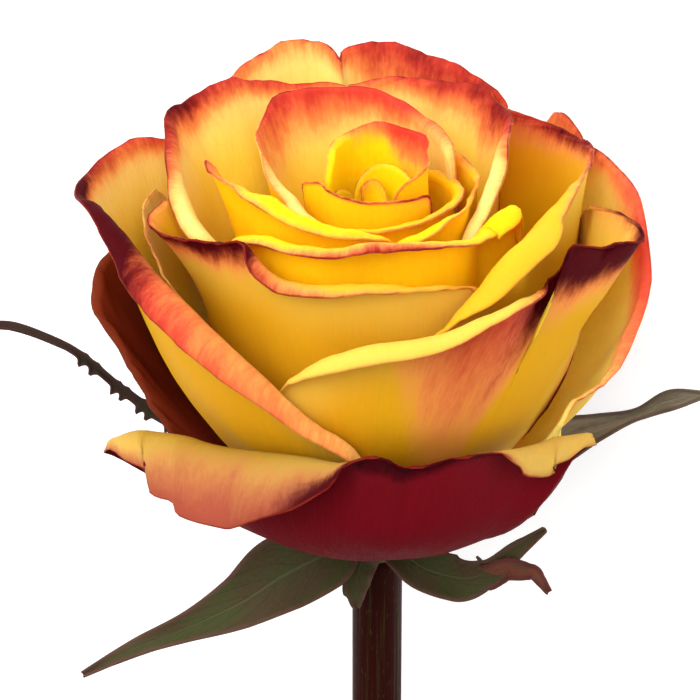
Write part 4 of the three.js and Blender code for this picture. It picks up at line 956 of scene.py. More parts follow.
# The red washes of every petal
TINTS: dict[str, PetalTint] = {
    "petal_01_core": PetalTint(
        inner=((0, 1.2, 0.4, 0.1),),
        outer=((0, 1.0, 0.4, 0.2),),
        wash=Wash.GOLD, lining=Wash.LEMON, ruffle=0.08),
    "petal_02_core": PetalTint(
        inner=((0, 0.6, 0.3, 0.0),),
        outer=((0, 0.6, 0.4, 0.1),),
        wash=Wash.GOLD, lining=Wash.LEMON, ruffle=0.08),
    "petal_03_core": PetalTint(
        inner=((0, 0.6, 0.3, 0.0),),
        outer=((0, 0.5, 0.4, 0.1),),
        wash=Wash.GOLD, lining=Wash.LEMON, ruffle=0.1),
    "petal_04_core": PetalTint(
        inner=((0, 0.6, 0.3, 0.0),),
        outer=((0, 0.6, 0.5, 0.1),),
        wash=Wash.GOLD, lining=Wash.LEMON, ruffle=0.1),
    "petal_05_inner_cup": PetalTint(
        inner=(
            (-84, 0.6, 0.4, 0.1), (0, 3, 0.85, 0.1), (30, 6.5, 1, 0.2), (62, 5.5, 1, 0.15),
            (90, 2, 0.85, 0.1), (130, 0.8, 0.5, 0.1), (200, 0.4, 0.3, 0)),
        outer=((-84, 0.5, 0.4, 0.1), (60, 0.5, 0.5, 0.2), (200, 0.3, 0.2, 0)),
        wash=Wash.GOLD, lining=Wash.LEMON, ruffle=0.12),
    "petal_06_inner_front": PetalTint(
        inner=((160, 0.6, 0.4, 0.1), (330, 0.7, 0.5, 0.2)),
        outer=((160, 0.6, 0.5, 0.3), (240, 0.5, 0.5, 0.3), (330, 0.8, 0.6, 0.3)),
        wash=Wash.GOLD, lining=Wash.GOLD, ruffle=0.14),
    "petal_07_inner_right": PetalTint(
        inner=((-120, 0.4, 0.3, 0.1), (0, 0.8, 0.5, 0.2), (48, 0.8, 0.5, 0.1)),
        outer=((-120, 0.3, 0.3, 0.1), (48, 0.4, 0.3, 0.1)),
        wash=Wash.GOLD, lining=Wash.GOLD),
    "petal_08_inner_back": PetalTint(
        inner=(
            (8, 0.8, 0.4, 0.1), (30, 1.2, 0.5, 0.08), (58, 3, 0.75, 0.1), (82, 5, 1, 0.15),
            (107, 5.5, 1, 0.2), (120, 7, 1, 0.25), (128, 8, 1, 0.3), (139, 8, 0.85, 0.15),
            (160, 7, 0.65, 0.08), (168, 5, 0.6, 0.08), (180, 2, 0.45, 0.1), (200, 0.8, 0.3, 0),
            (240, 0.5, 0.2, 0)),
        outer=((8, 0.5, 0.4, 0.1), (240, 0.3, 0.2, 0)),
        wash=Wash.GOLD),
    "petal_09_mid_right": PetalTint(
        inner=(
            (-108, 0.4, 0.3, 0), (-62, 0.5, 0.3, 0.1), (-41, 0.7, 0.4, 0.1), (-12, 1.2, 0.5, 0.1),
            (20, 1.4, 0.5, 0.1), (56, 1.2, 0.5, 0.1)),
        outer=((-108, 0.4, 0.3, 0.1), (56, 0.4, 0.3, 0.1)),
        wash=Wash.GOLD, lining=Wash.GOLD),
    "petal_10_mid_left": PetalTint(
        inner=(
            (150, 1, 0.5, 0.1), (177, 2.2, 0.8, 0.3), (193, 1.6, 0.55, 0.2), (214, 0.9, 0.4, 0.15),
            (254, 0.8, 0.4, 0.15), (290, 0.6, 0.3, 0.1)),
        outer=((150, 0.6, 0.4, 0.1), (290, 0.4, 0.3, 0.1)),
        wash=Wash.GOLD, lining=Wash.GOLD, ruffle=0.3),
    "petal_11_back_right": PetalTint(
        inner=(
            (-46, 0.5, 0.2, 0), (-20, 0.8, 0.35, 0.1), (6, 1.5, 0.5, 0.2), (25, 3.6, 0.9, 0.3),
            (53, 8, 1, 0.5), (71, 4.4, 1, 0.35), (83, 2, 0.9, 0.2), (102, 1.6, 0.8, 0.15),
            (120, 1, 0.5, 0.1)),
        outer=((-46, 0.4, 0.2, 0), (60, 1.2, 0.6, 0.3), (120, 0.6, 0.4, 0.1))),
    "petal_12_mid_front": PetalTint(
        inner=(
            (-170, 0.6, 0.4, 0.15), (-130, 0.9, 0.5, 0.2), (-105, 1.6, 0.75, 0.3), (-91, 3, 0.95, 0.5),
            (-75, 1.4, 0.75, 0.35), (-54, 0.7, 0.4, 0.2), (-40, 0.4, 0.2, 0)),
        outer=((-170, 0.6, 0.4, 0.2), (-91, 1.2, 0.7, 0.45), (-60, 0.8, 0.6, 0.4), (-40, 0.4, 0.2, 0)),
        wash=Wash.GOLD, lining=Wash.GOLD),
    "petal_13_back_left": PetalTint(
        inner=(
            (84, 0.8, 0.5, 0.1), (102, 1.6, 0.8, 0.15), (126, 2.6, 0.95, 0.25), (140, 4.6, 1, 0.45),
            (150, 5.6, 1, 0.65), (160, 3.6, 0.95, 0.4), (187, 1.2, 0.5, 0.2), (206, 0.8, 0.3, 0.1)),
        outer=((84, 0.8, 0.5, 0.1), (150, 1.6, 0.8, 0.5), (206, 0.5, 0.3, 0.1)),
        ruffle=0.3),
    "petal_14_front": PetalTint(
        inner=(
            (-178, 0.8, 0.5, 0.2), (-170, 1.2, 0.7, 0.4), (-161, 1.8, 0.9, 0.6), (-151, 3, 1, 0.9),
            (-139, 4.5, 1, 0.95), (-130, 4.2, 0.9, 0.5), (-122, 2.6, 0.7, 0.25), (-106, 1, 0.6, 0.15),
            (-93, 0.6, 0.5, 0.1), (-46, 0.4, 0.2, 0)),
        outer=(
            (-178, 2, 0.8, 0.5), (-161, 5, 1, 0.8), (-139, 6, 1, 0.8), (-130, 2.5, 0.8, 0.4),
            (-120, 0.8, 0.4, 0.2), (-46, 0.4, 0.2, 0)),
        ruffle=0.25, lining=Wash.AMBER),
    "petal_15_back": PetalTint(
        inner=(
            (50, 5, 0.9, 0.35), (60, 8, 1, 0.38), (80, 11, 1, 0.4), (91, 9, 1, 0.42), (98, 3, 0.85, 0.2),
            (104, 1.8, 0.7, 0.15), (120, 2.4, 0.8, 0.2), (130, 2.4, 0.8, 0.15)),
        outer=((50, 2, 0.8, 0.3), (90, 3, 0.9, 0.5), (130, 2, 0.7, 0.2)),
        ruffle=0.3),
    "petal_16_right": PetalTint(
        inner=(
            (-108, 0.3, 0.1, 0), (-33, 0.4, 0.2, 0), (-17, 1, 0.35, 0.05), (0, 2.2, 0.6, 0.1),
            (10, 2.2, 0.8, 0.3), (23, 3, 0.95, 0.5), (33, 3.4, 1, 0.65), (44, 4.2, 1, 0.5),
            (55, 5, 0.9, 0.3), (68, 4, 0.7, 0.2)),
        outer=((-108, 0.3, 0.1, 0), (0, 0.8, 0.5, 0.2), (68, 1, 0.6, 0.2)),
        lining=Wash.AMBER, ruffle=0.25),
    "petal_17_left": PetalTint(
        inner=((150, 1, 0.4, 0.1), (236, 1, 0.4, 0.1)),
        outer=((150, 1, 0.4, 0.1), (236, 1, 0.4, 0.1))),
    # Near black crimson on its outer face from -31 to 8 degrees: its own crimson tip with painted shade from
    # the folded lip over it
    "petal_18_front_right": PetalTint(
        inner=(
            (-128, 0.3, 0.2, 0), (-76, 0.4, 0.3, 0), (-56, 0.5, 0.4, 0.1), (-38, 1.6, 0.8, 0.4),
            (-30, 3, 0.95, 0.8), (-22, 1.4, 0.9, 0.7), (-5, 1.6, 0.95, 0.9), (8, 1, 0.7, 0.4)),
        outer=(
            (-128, 0.3, 0.1, 0), (-100, 0.6, 0.2, 0), (-90, 5, 0.35, 0), (-80, 15, 0.75, 0),
            (-68, 24, 0.95, 0.05), (-54, 30, 1, 0.15), (-40, 26, 1, 0.5), (-31, 13, 1, 1),
            (-18, 11, 1, 1), (-7, 8, 1, 1), (8, 5, 1, 1)),
        lining=Wash.HONEY),
    # Dark crimson on its inner face from 178 to 206 degrees: a painted shaded band where the outer face's
    # underside shows at the rim
    "petal_19_outer_left": PetalTint(
        inner=(
            (132, 2.4, 0.75, 0.2), (152, 3.2, 0.85, 0.25), (168, 3.6, 0.9, 0.4), (178, 3.8, 1, 0.85),
            (188, 8, 1, 1), (194, 9.5, 1, 1), (200, 10, 1, 0.85), (206, 11, 1, 0.5),
            (218, 12, 0.85, 0.16), (233, 12, 0.74, 0.06), (250, 9, 0.66, 0.06), (265, 6, 0.5, 0.05)),
        outer=(
            (132, 2, 0.7, 0.3), (178, 5, 1, 0.9), (196, 4, 0.9, 0.7), (210, 1.5, 0.6, 0.2),
            (265, 0.6, 0.4, 0.1)),
        ruffle=0.3),
    "petal_20_outer_right": PetalTint(
        inner=(
            (-44, 0.5, 0.1, 0), (-27, 0.8, 0.3, 0), (-19, 1.8, 0.5, 0), (-10, 5, 0.8, 0.05),
            (-2, 7, 0.95, 0.1), (10, 6, 0.9, 0.15), (22, 3, 0.7, 0.3), (32, 4.5, 0.95, 0.6),
            (42, 3, 1, 0.8)),
        outer=((-44, 2, 0.5, 0.2), (42, 3, 0.8, 0.5)),
        ruffle=0.3, lining=Wash.SHEER),
    # Dark russet on both faces: partly its own red-brown, partly painted shade from the petals in front of it
    "petal_21_far_left": PetalTint(
        inner=((128, 2, 0.3, 0.1), (160, 2, 0.3, 0.1), (200, 1.5, 0.3, 0.1)),
        outer=((128, 3, 0.4, 0.2), (200, 3, 0.4, 0.2)),
        wash=Wash.SHADED_RUSSET, lining=Wash.SHADED_RUSSET, ruffle=0.4),
    # Darkest near -97 degrees on both faces: painted shade under the top fold over its own crimson
    "petal_22_front_guard": PetalTint(
        inner=(
            (-158, 1.2, 0.5, 0), (-153, 2.5, 0.7, 0.03), (-147, 6, 0.9, 0.05), (-137, 9, 1, 0.06),
            (-120, 11, 1, 0.1), (-110, 7, 0.9, 0.25), (-101, 3.6, 0.95, 0.9), (-97, 3, 1, 1),
            (-72, 2, 0.9, 0.8), (-60, 1.2, 0.6, 0.3), (-50, 0.8, 0.35, 0.1), (-34, 0.8, 0.3, 0.05)),
        outer=(
            (-162, 4, 0.5, 0.3), (-104, 5, 0.8, 0.8), (-97, 6, 0.9, 1), (-80, 4, 0.8, 0.8),
            (-66, 2, 0.6, 0.5), (-36, 2, 0.5, 0.2)),
        wash=Wash.CRIMSON, ruffle=0.2, creases=(-97.0, -82.0), lining=Wash.ROSY),
    "petal_23_guard_back_left": PetalTint(
        inner=((78, 6, 0.8, 0.3), (165, 8, 0.8, 0.4)),
        outer=((78, 4, 0.6, 0.5), (165, 4, 0.6, 0.5)),
        wash=Wash.CRIMSON, ruffle=0.3),
    "petal_24_guard_back_right": PetalTint(
        inner=((24, 6, 0.8, 0.3), (90, 6, 0.8, 0.4)),
        outer=((24, 4, 0.6, 0.5), (90, 4, 0.6, 0.5)),
        wash=Wash.CRIMSON, ruffle=0.3),
    "petal_25_guard_back": PetalTint(
        inner=((45, 6, 0.8, 0.3), (140, 6, 0.8, 0.4)),
        outer=((45, 4, 0.6, 0.5), (140, 4, 0.6, 0.5)),
        wash=Wash.CRIMSON, ruffle=0.3),
}


@dataclass
class Bloom:
    """All petals, each a thin sheet that stands for its CAD node.

    Attributes:
        laying: How the bloom lies on the table.
        finishes: The material of each ground colour.
        columns: Columns of points across the widest petals.
        fewest: Columns of points across the narrowest ones.
        blade_rows: Rows of points from the claw to the rim.
        lip_rows: Rows of points on the rolled lip.
        corner: How near the corner, in millimetres, the upper and side edges run into one.
        crease_depth: Depth of a crease, in millimetres.
        crease_width: Its width, in degrees.
        crease_middle: How far below the edge it is deepest, in millimetres.
        crease_reach: How far it runs from there, in millimetres.
        wave_reach: How far the fine waves reach below the edge, in millimetres.
        bulge: Height of the broad waves inside, in millimetres.
    """

    laying: Laying
    finishes: dict[Wash, bpy.types.Material]
    columns: int = 84
    fewest: int = 40
    blade_rows: int = 30
    lip_rows: int = 10
    corner: float = 3.0
    crease_depth: float = 0.7
    crease_width: float = 1.6
    crease_middle: float = 5.0
    crease_reach: float = 7.0
    wave_reach: float = 3.5
    bulge: float = 0.22

    def washes(self, form: PetalForm, stations: tuple[Station, ...],
               azimuth: np.ndarray, edge: np.ndarray) -> tuple[np.ndarray, np.ndarray]:
        """Works out how red and how dark each point of a face is; the darkness is partly the margin's own
        deep crimson and partly painted shade.

        Args:
            form: Not used.
            stations: The red along the rim.
            azimuth: The rim's azimuth at each column.
            edge: Distance of each point from the petal's edge, in millimetres.

        Returns:
            The blush and the darkening, partly painted shade, at each point, 0 to 1.
        """
        marks = np.array(sorted(stations))
        reach, red, dark = (np.interp(azimuth, marks[:, 0], marks[:, k])[None, :] for k in (1, 2, 3))
        depth = np.clip(1 - edge / (reach * 1.35 + 0.2), 0.0, 1.0)
        blush = red * depth ** 0.85
        # The darkening near the edge is partly painted shade under folds and rolled lips
        dusk = dark * np.clip(1 - edge / (reach * 0.8 + 0.15), 0.0, 1.0) ** 0.6
        return blush, dusk

    def sheet(self, index: int, form: PetalForm, tint: PetalTint) -> Sheet:
        """Makes the sheet of one petal.

        Args:
            index: The petal's place, from the heart.
            form: Its shape.
            tint: Its red washes.

        Returns:
            The sheet, laid on the table.
        """
        wide_swell = 20
        columns = max(self.fewest, int(self.columns * min(1.0, form.swell / wide_swell)))
        u = np.linspace(0.0, 1.0, columns)
        blade = form.blade(u, np.linspace(0.0, 1.0, self.blade_rows))
        lip = form.lip(u, np.linspace(0.0, 1.0, self.lip_rows + 1)[1:])
        points = np.concatenate((blade, lip))
        up = running_length(points, 0)
        across = running_length(points, 1)
        above = up[-1:] - up
        side = np.minimum(across, across[:, -1:] - across)
        edge = np.minimum(above, side)
        apart = np.abs(above - side)
        edge = np.where(apart < self.corner, edge - (self.corner - apart) ** 2 / 14, edge)
        edge = np.maximum(edge, 0.0)
        points = self.ruffled(index, points, edge, across, tint.ruffle)
        azimuth = form.rim_curves()[0](u)
        folds = (np.exp(-np.abs(azimuth - place) / self.crease_width) for place in tint.creases)
        fold = sum(folds, 0 * azimuth)
        depth = self.crease_depth * fold[None, :]
        depth = depth * np.exp(-((edge - self.crease_middle) / self.crease_reach) ** 2)
        points = points - Sheet(points, PETAL_THICKNESS).normals() * depth[..., None]
        fan = np.broadcast_to(across[len(blade) - 1][None, :], edge.shape)
        rise = up / up[-1:].max()
        seed = np.full(edge.shape, index * 7.3)
        blush_in, dusk_in = self.washes(form, tint.inner, azimuth, edge)
        blush_out, dusk_out = self.washes(form, tint.outer, azimuth, edge)
        tracks = both_faces(edge=edge, rise=rise, fan=fan, seed=seed)
        tracks.update(blush=(blush_in, blush_out), dusk=(dusk_in, dusk_out))
        return Sheet(self.laying.lay(points), PETAL_THICKNESS, tracks)

    def ruffled(self, index: int, points: np.ndarray, edge: np.ndarray, across: np.ndarray,
                height: float) -> np.ndarray:
        """Adds fine waves that grow towards the petal's edge, and broad ones inside.

        Args:
            index: The petal's place, from the heart.
            points: The petal's points.
            edge: Distance of each point from the petal's edge.
            across: Distance of each point from the petal's side.
            height: Height of the fine waves, in millimetres.

        Returns:
            The waved points.
        """
        sheet = Sheet(points, PETAL_THICKNESS)
        normal = sheet.normals()
        phase = index * 2.1
        near = np.exp(-edge / self.wave_reach)
        waves = (np.sin(across * 0.83 + phase) + 0.6 * np.sin(across * 1.71 + phase * 2.3)
                 + 0.35 * np.sin(across * 3.1 + phase * 1.7)) / 1.6
        broad = np.sin(across * 0.21 + phase) * np.sin(edge * 0.22 + phase * 0.7)
        return points + normal * (height * near * waves + self.bulge * (1 - near) * broad)[..., None]

    def build(self) -> list[bpy.types.Object]:
        """Makes every petal.

        Returns:
            The pieces.
        """
        pieces = []
        for index, form in enumerate(PETALS):
            tint = TINTS[form.node]
            faces = (self.finishes[tint.lining], self.finishes[tint.wash])
            piece = self.sheet(index, form, tint).build(f"rose_{form.node}", faces)
            plain = "petal_yellow" if form.swell < 18 else "petal_pale"
            settle(piece, "petal_crimson" if "front_guard" in form.node else plain, form.node)
            pieces.append(piece)
        return pieces


def settle(piece: bpy.types.Object, slot: str, *nodes: str) -> None:
    """Lets a piece ride on the rose and stand for CAD nodes.

    Args:
        piece: The piece.
        slot: Not used.
        *nodes: The CAD nodes that it stands for.
    """
    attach(piece, "root")
    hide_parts(*nodes)


@dataclass(frozen=True)
class SepalForm:
    """The shape of one sepal: its midline, half widths, up side, and side spikes.

    Attributes:
        node: The CAD node that it stands for.
        line: Points of the midline in the bloom's frame.
        half: Half width at each of them.
        up: The blade's upper side.
        spikes: Places of the side spikes along the midline.
        fork: Midline of a second tip, if it has one.
        fork_half: Half widths of the second tip.
        skin: Its colouring.
        spike_height: How far a spike reaches past the blade's edge.
        spike_width: Its half width, as a share of the midline.
    """

    node: str
    line: tuple[tuple[float, float, float], ...]
    half: tuple[float, ...]
    up: tuple[float, float, float]
    spikes: tuple[float, ...] = ()
    fork: tuple[tuple[float, float, float], ...] = ()
    fork_half: tuple[float, ...] = ()
    skin: Skin = Skin.OLIVE
    spike_height: float = 1.15
    spike_width: float = 0.006

    def grid(self, line: tuple[tuple[float, float, float], ...], half: tuple[float, ...],
             spikes: tuple[float, ...]) -> tuple[np.ndarray, np.ndarray, np.ndarray]:
        """Makes the grid of one blade.

        Args:
            line: The midline.
            half: Half width along it.
            spikes: Places of the side spikes.

        Returns:
            The points, and the places along and across the blade.
        """
        points = np.array(line, dtype=float)
        knots = knots_along(points)
        t = np.linspace(0.0, 1.0, 260)
        middle = np.stack([curve_through(knots, points[:, k])(t) for k in range(3)], axis=-1)
        width = np.maximum(curve_through(knots, np.array(half))(t), 0.12)
        spurs = (np.exp(-np.abs((t - place) / self.spike_width) ** 1.4) for place in spikes)
        spur = self.spike_height * sum(spurs, np.zeros_like(t))
        ahead = unit(np.gradient(middle, axis=0))
        side = unit(np.cross(ahead, np.array(self.up)))
        lift = np.cross(side, ahead)
        s = np.linspace(-1.0, 1.0, 15)
        wave = 0.3 * np.sin(t * 21)[:, None] * np.abs(s)[None, :] ** 2
        rise = 0.35 * width[:, None] * np.abs(s)[None, :] ** 2 + wave
        reach = width[:, None] + spur[:, None] * np.where(s < 0, 1.0, 0.2)[None, :]
        grid = (middle[:, None, :] + side[:, None, :] * (s[None, :] * reach)[..., None]
                + lift[:, None, :] * rise[..., None])
        along = np.broadcast_to(t[:, None], rise.shape)
        return grid, along, np.broadcast_to(s[None, :], rise.shape)


SEPALS: tuple[SepalForm, ...] = (
    SepalForm(
        "sepal_left_thin",
        line=((-5.6, 2, -2.4), (-15, 7, 0.5), (-25, 12, 5), (-33, 14.5, 7.5), (-39, 16, 11.5),
              (-48, 18, 18.5), (-57, 19, 21.6), (-62, 19.5, 21)),
        half=(2.2, 2.6, 1.5, 0.8, 0.55, 0.5, 0.6, 0.25), up=(-0.3, -0.6, 0.75),
        spikes=(0.44, 0.5, 0.53, 0.585, 0.61, 0.67, 0.70), skin=Skin.DARK,
    ),
    SepalForm(
        "sepal_left_broad",
        line=((-4.4, -4, -2.6), (-9, -7.5, -3.4), (-14, -9.6, -5), (-21, -12, -8.7), (-30, -13, -13),
              (-37.5, -13, -16.6), (-45, -12, -22)),
        half=(2.8, 5.6, 5.8, 4.0, 2.0, 1.2, 0.4), up=(-0.2, -0.75, 0.6),
    ),
    SepalForm(
        "sepal_right_leafy",
        line=((5.8, 1.6, -2.4), (14, 5, 0), (21, 7.5, 3.6), (28, 8.6, 7.2), (34, 9.2, 9.4), (40, 9.8, 11.4),
              (45, 10, 13.8), (50, 10, 14.8)),
        half=(2.8, 4.4, 4.6, 3.6, 2.0, 0.9, 1.5, 0.5), up=(0.1, -0.75, 0.65), skin=Skin.DOWNY,
    ),
    SepalForm(
        "sepal_right_forked",
        line=((2.6, -5.4, -2.8), (7, -10, -3.6), (12, -13, -3.2), (16.5, -15, -0.6), (20.5, -15.6, 3.6),
              (25, -15.2, 7.4)),
        half=(2.6, 3.2, 3.4, 2.2, 1.3, 0.4), up=(0.2, -0.8, 0.5), spikes=(0.62,),
        fork=((16.5, -15, -1.4), (20, -16.6, 1.0), (23, -17.6, 1.2), (25.6, -18.2, -2)),
        fork_half=(2.0, 1.6, 1.1, 0.4),
    ),
    SepalForm(
        "sepal_front_short",
        line=((-1.6, -6.0, -2.8), (-2.8, -8.2, -5.4), (-3.4, -9.2, -8.4), (-3.2, -9.0, -11.2)),
        half=(2.4, 2.2, 1.6, 0.5), up=(-0.2, -0.95, 0.2),
    ),
)


@dataclass
class Calyx:
    """The hip and its sepals, below the petals.

    Attributes:
        laying: How the bloom lies on the table.
        skins: The materials of the two faces of each kind of sepal.
        hip_finish: The hip's material.
        profile: Heights and radii of the hip, from the stem up to the petals' seat.
        sides: Points round the hip, and along it.
    """

    laying: Laying
    skins: dict[Skin, tuple[bpy.types.Material, bpy.types.Material]]
    hip_finish: bpy.types.Material
    profile: tuple[tuple[float, float], ...] = (
        (-7.0, 3.9), (-5.4, 4.6), (-3.4, 6.2), (-1.2, 6.6), (0.0, SEAT_NECK + SEAT_SLOPE + 0.6),
        (SEAT_TOP / 2, SEAT_NECK + SEAT_SLOPE / 2 + 0.6), (SEAT_TOP, SEAT_NECK + 0.6), (SEAT_TOP + 1, 0.8))
    sides: int = 40

    def sepals(self) -> list[bpy.types.Object]:
        """Makes the sepals.

        Returns:
            The pieces.
        """
        pieces = []
        for index, form in enumerate(SEPALS):
            blades = [(form.line, form.half, form.spikes)]
            if form.fork:
                blades.append((form.fork, form.fork_half, ()))
            parts = []
            for number, (line, half, spikes) in enumerate(blades):
                grid, along, across = form.grid(line, half, spikes)
                laid = self.laying.lay(grid)
                width = running_length(laid, 1)
                edge = np.minimum(width, width[:, -1:] - width)
                seed = np.full(edge.shape, index * 3.7)
                sheet = Sheet(laid, LEAF_THICKNESS, both_faces(edge=edge, rise=along, fan=across, seed=seed))
                skin = self.skins[Skin.RUDDY if number else form.skin]
                parts.append(sheet.build(f"rose_{form.node}_{number}", skin))
            piece = joined(parts, f"rose_{form.node}")
            settle(piece, "sepal_green", form.node)
            pieces.append(piece)
        return pieces

    def hip(self) -> bpy.types.Object:
        """Makes the hip with its domed seat.

        Returns:
            The piece.
        """
        places, radii = np.array(self.profile).T
        z = np.linspace(places[0], places[-1], self.sides)
        axis = np.zeros(self.sides)
        line = self.laying.lay(np.stack((axis, axis, z), axis=-1))
        tube = Tube(line, curve_through(places, radii)(z), self.sides, "rose_hip")
        tube.tracks["dusk"] = np.full(self.sides, 0.35)
        piece = tube.build((self.hip_finish,))
        settle(piece, "sepal_green", "hip")
        return piece


def joined(parts: list[bpy.types.Object], name: str) -> bpy.types.Object:
    """Joins mesh objects into the first of them and renames it.

    Args:
        parts: The objects, all at the origin.
        name: The joined piece's name.

    Returns:
        The joined piece.
    """
    base = parts[0]
    if len(parts) > 1:
        with bpy.context.temp_override(active_object=base, selected_editable_objects=parts, object=base):
            bpy.ops.object.join()
    base.name = name
    base.data.name = name
    return base


@dataclass
class Tube:
    """A round body along a line, such as a stem, a leaf stalk or a prickle.

    Attributes:
        line: Points of the midline on the table, in millimetres.
        radii: Radius at each point.
        sides: Points round it.
        name: The object's name.
        spread: Factors of the radius sideways and upwards.
        tracks: Values along the tube for the shaders.
    """

    line: np.ndarray
    radii: np.ndarray
    sides: int
    name: str
    spread: tuple[float, float] = (1.0, 1.0)
    tracks: dict[str, np.ndarray] = field(default_factory=dict)

    def build(self, materials: tuple[bpy.types.Material, ...]) -> bpy.types.Object:
        """Makes the tube with closed ends.

        Args:
            materials: Its materials.

        Returns:
            The new object.
        """
        line = np.asarray(self.line, dtype=float)
        count = len(line)
        ahead = unit(np.gradient(line, axis=0))
        side = unit(np.cross(np.array((0.0, 0.0, 1.0)), ahead))
        top = np.cross(ahead, side)
        angle = 2 * math.pi * np.arange(self.sides) / self.sides
        across = np.cos(angle)[None, :, None] * self.radii[:, None, None] * self.spread[0]
        upward = np.sin(angle)[None, :, None] * self.radii[:, None, None] * self.spread[1]
        rings = line[:, None, :] + side[:, None, :] * across + top[:, None, :] * upward
        rings[..., 2] = np.maximum(rings[..., 2], FLOOR_GAP)
        points = rings.reshape(-1, 3)
        n = self.sides
        faces: list[tuple[int, ...]] = []
        for i in range(count - 1):
            for k in range(n):
                a, b = i * n + k, i * n + (k + 1) % n
                faces.append((a, b, b + n, a + n))
        faces.append(tuple(range(n - 1, -1, -1)))
        faces.append(tuple(range((count - 1) * n, count * n)))
        values = {
            "rise": np.repeat(np.linspace(0, 1, count), n),
            "fan": np.tile(np.abs(np.linspace(-1, 1, n, endpoint=False)), count),
            "edge": np.full(count * n, 5.0),
            "seed": np.zeros(count * n),
            "blush": np.zeros(count * n),
            "dusk": np.zeros(count * n),
        }
        for track, along in self.tracks.items():
            values[track] = np.repeat(along, n)
        piece = mesh_object(self.name, points, faces, values, materials)
        piece.data.polygons.foreach_set("use_smooth", [True] * (len(faces) - 2) + [False, False])
        return piece


def bezier(points: list[np.ndarray], t: np.ndarray) -> np.ndarray:
    """Follows a Bezier curve.

    Args:
        points: Its control points.
        t: Places along it, 0 to 1.

    Returns:
        The points at those places.
    """
    t = np.asarray(t, dtype=float)
    layer = [np.broadcast_to(p, (len(t), 3)) for p in points]
    while len(layer) > 1:
        layer = [a + (b - a) * t[:, None] for a, b in zip(layer, layer[1:])]
    return layer[0]


@dataclass(frozen=True)
class LeafForm:
    """Where a compound leaf grows and how large it is.

    Attributes:
        node: The CAD node that it stands for.
        at: Its place along the stem, from the neck.
        side: The side of the stem, 1 or -1.
        rise: How high its stalk lifts, in millimetres.
        length: Of the stalk, in millimetres.
        pairs: Pairs of leaflets below the one at its tip.
        leaflet: Length of the leaflet at its tip, in millimetres.
    """

    node: str
    at: float
    side: int
    rise: float
    length: float
    pairs: int
    leaflet: float


LEAVES: tuple[LeafForm, ...] = (
    LeafForm("leaf_upper", at=0.36, side=1, rise=16, length=52, pairs=1, leaflet=36),
    LeafForm("leaf_middle", at=0.56, side=-1, rise=12, length=74, pairs=2, leaflet=38),
    LeafForm("leaf_lower", at=0.76, side=1, rise=8, length=70, pairs=2, leaflet=34),
)


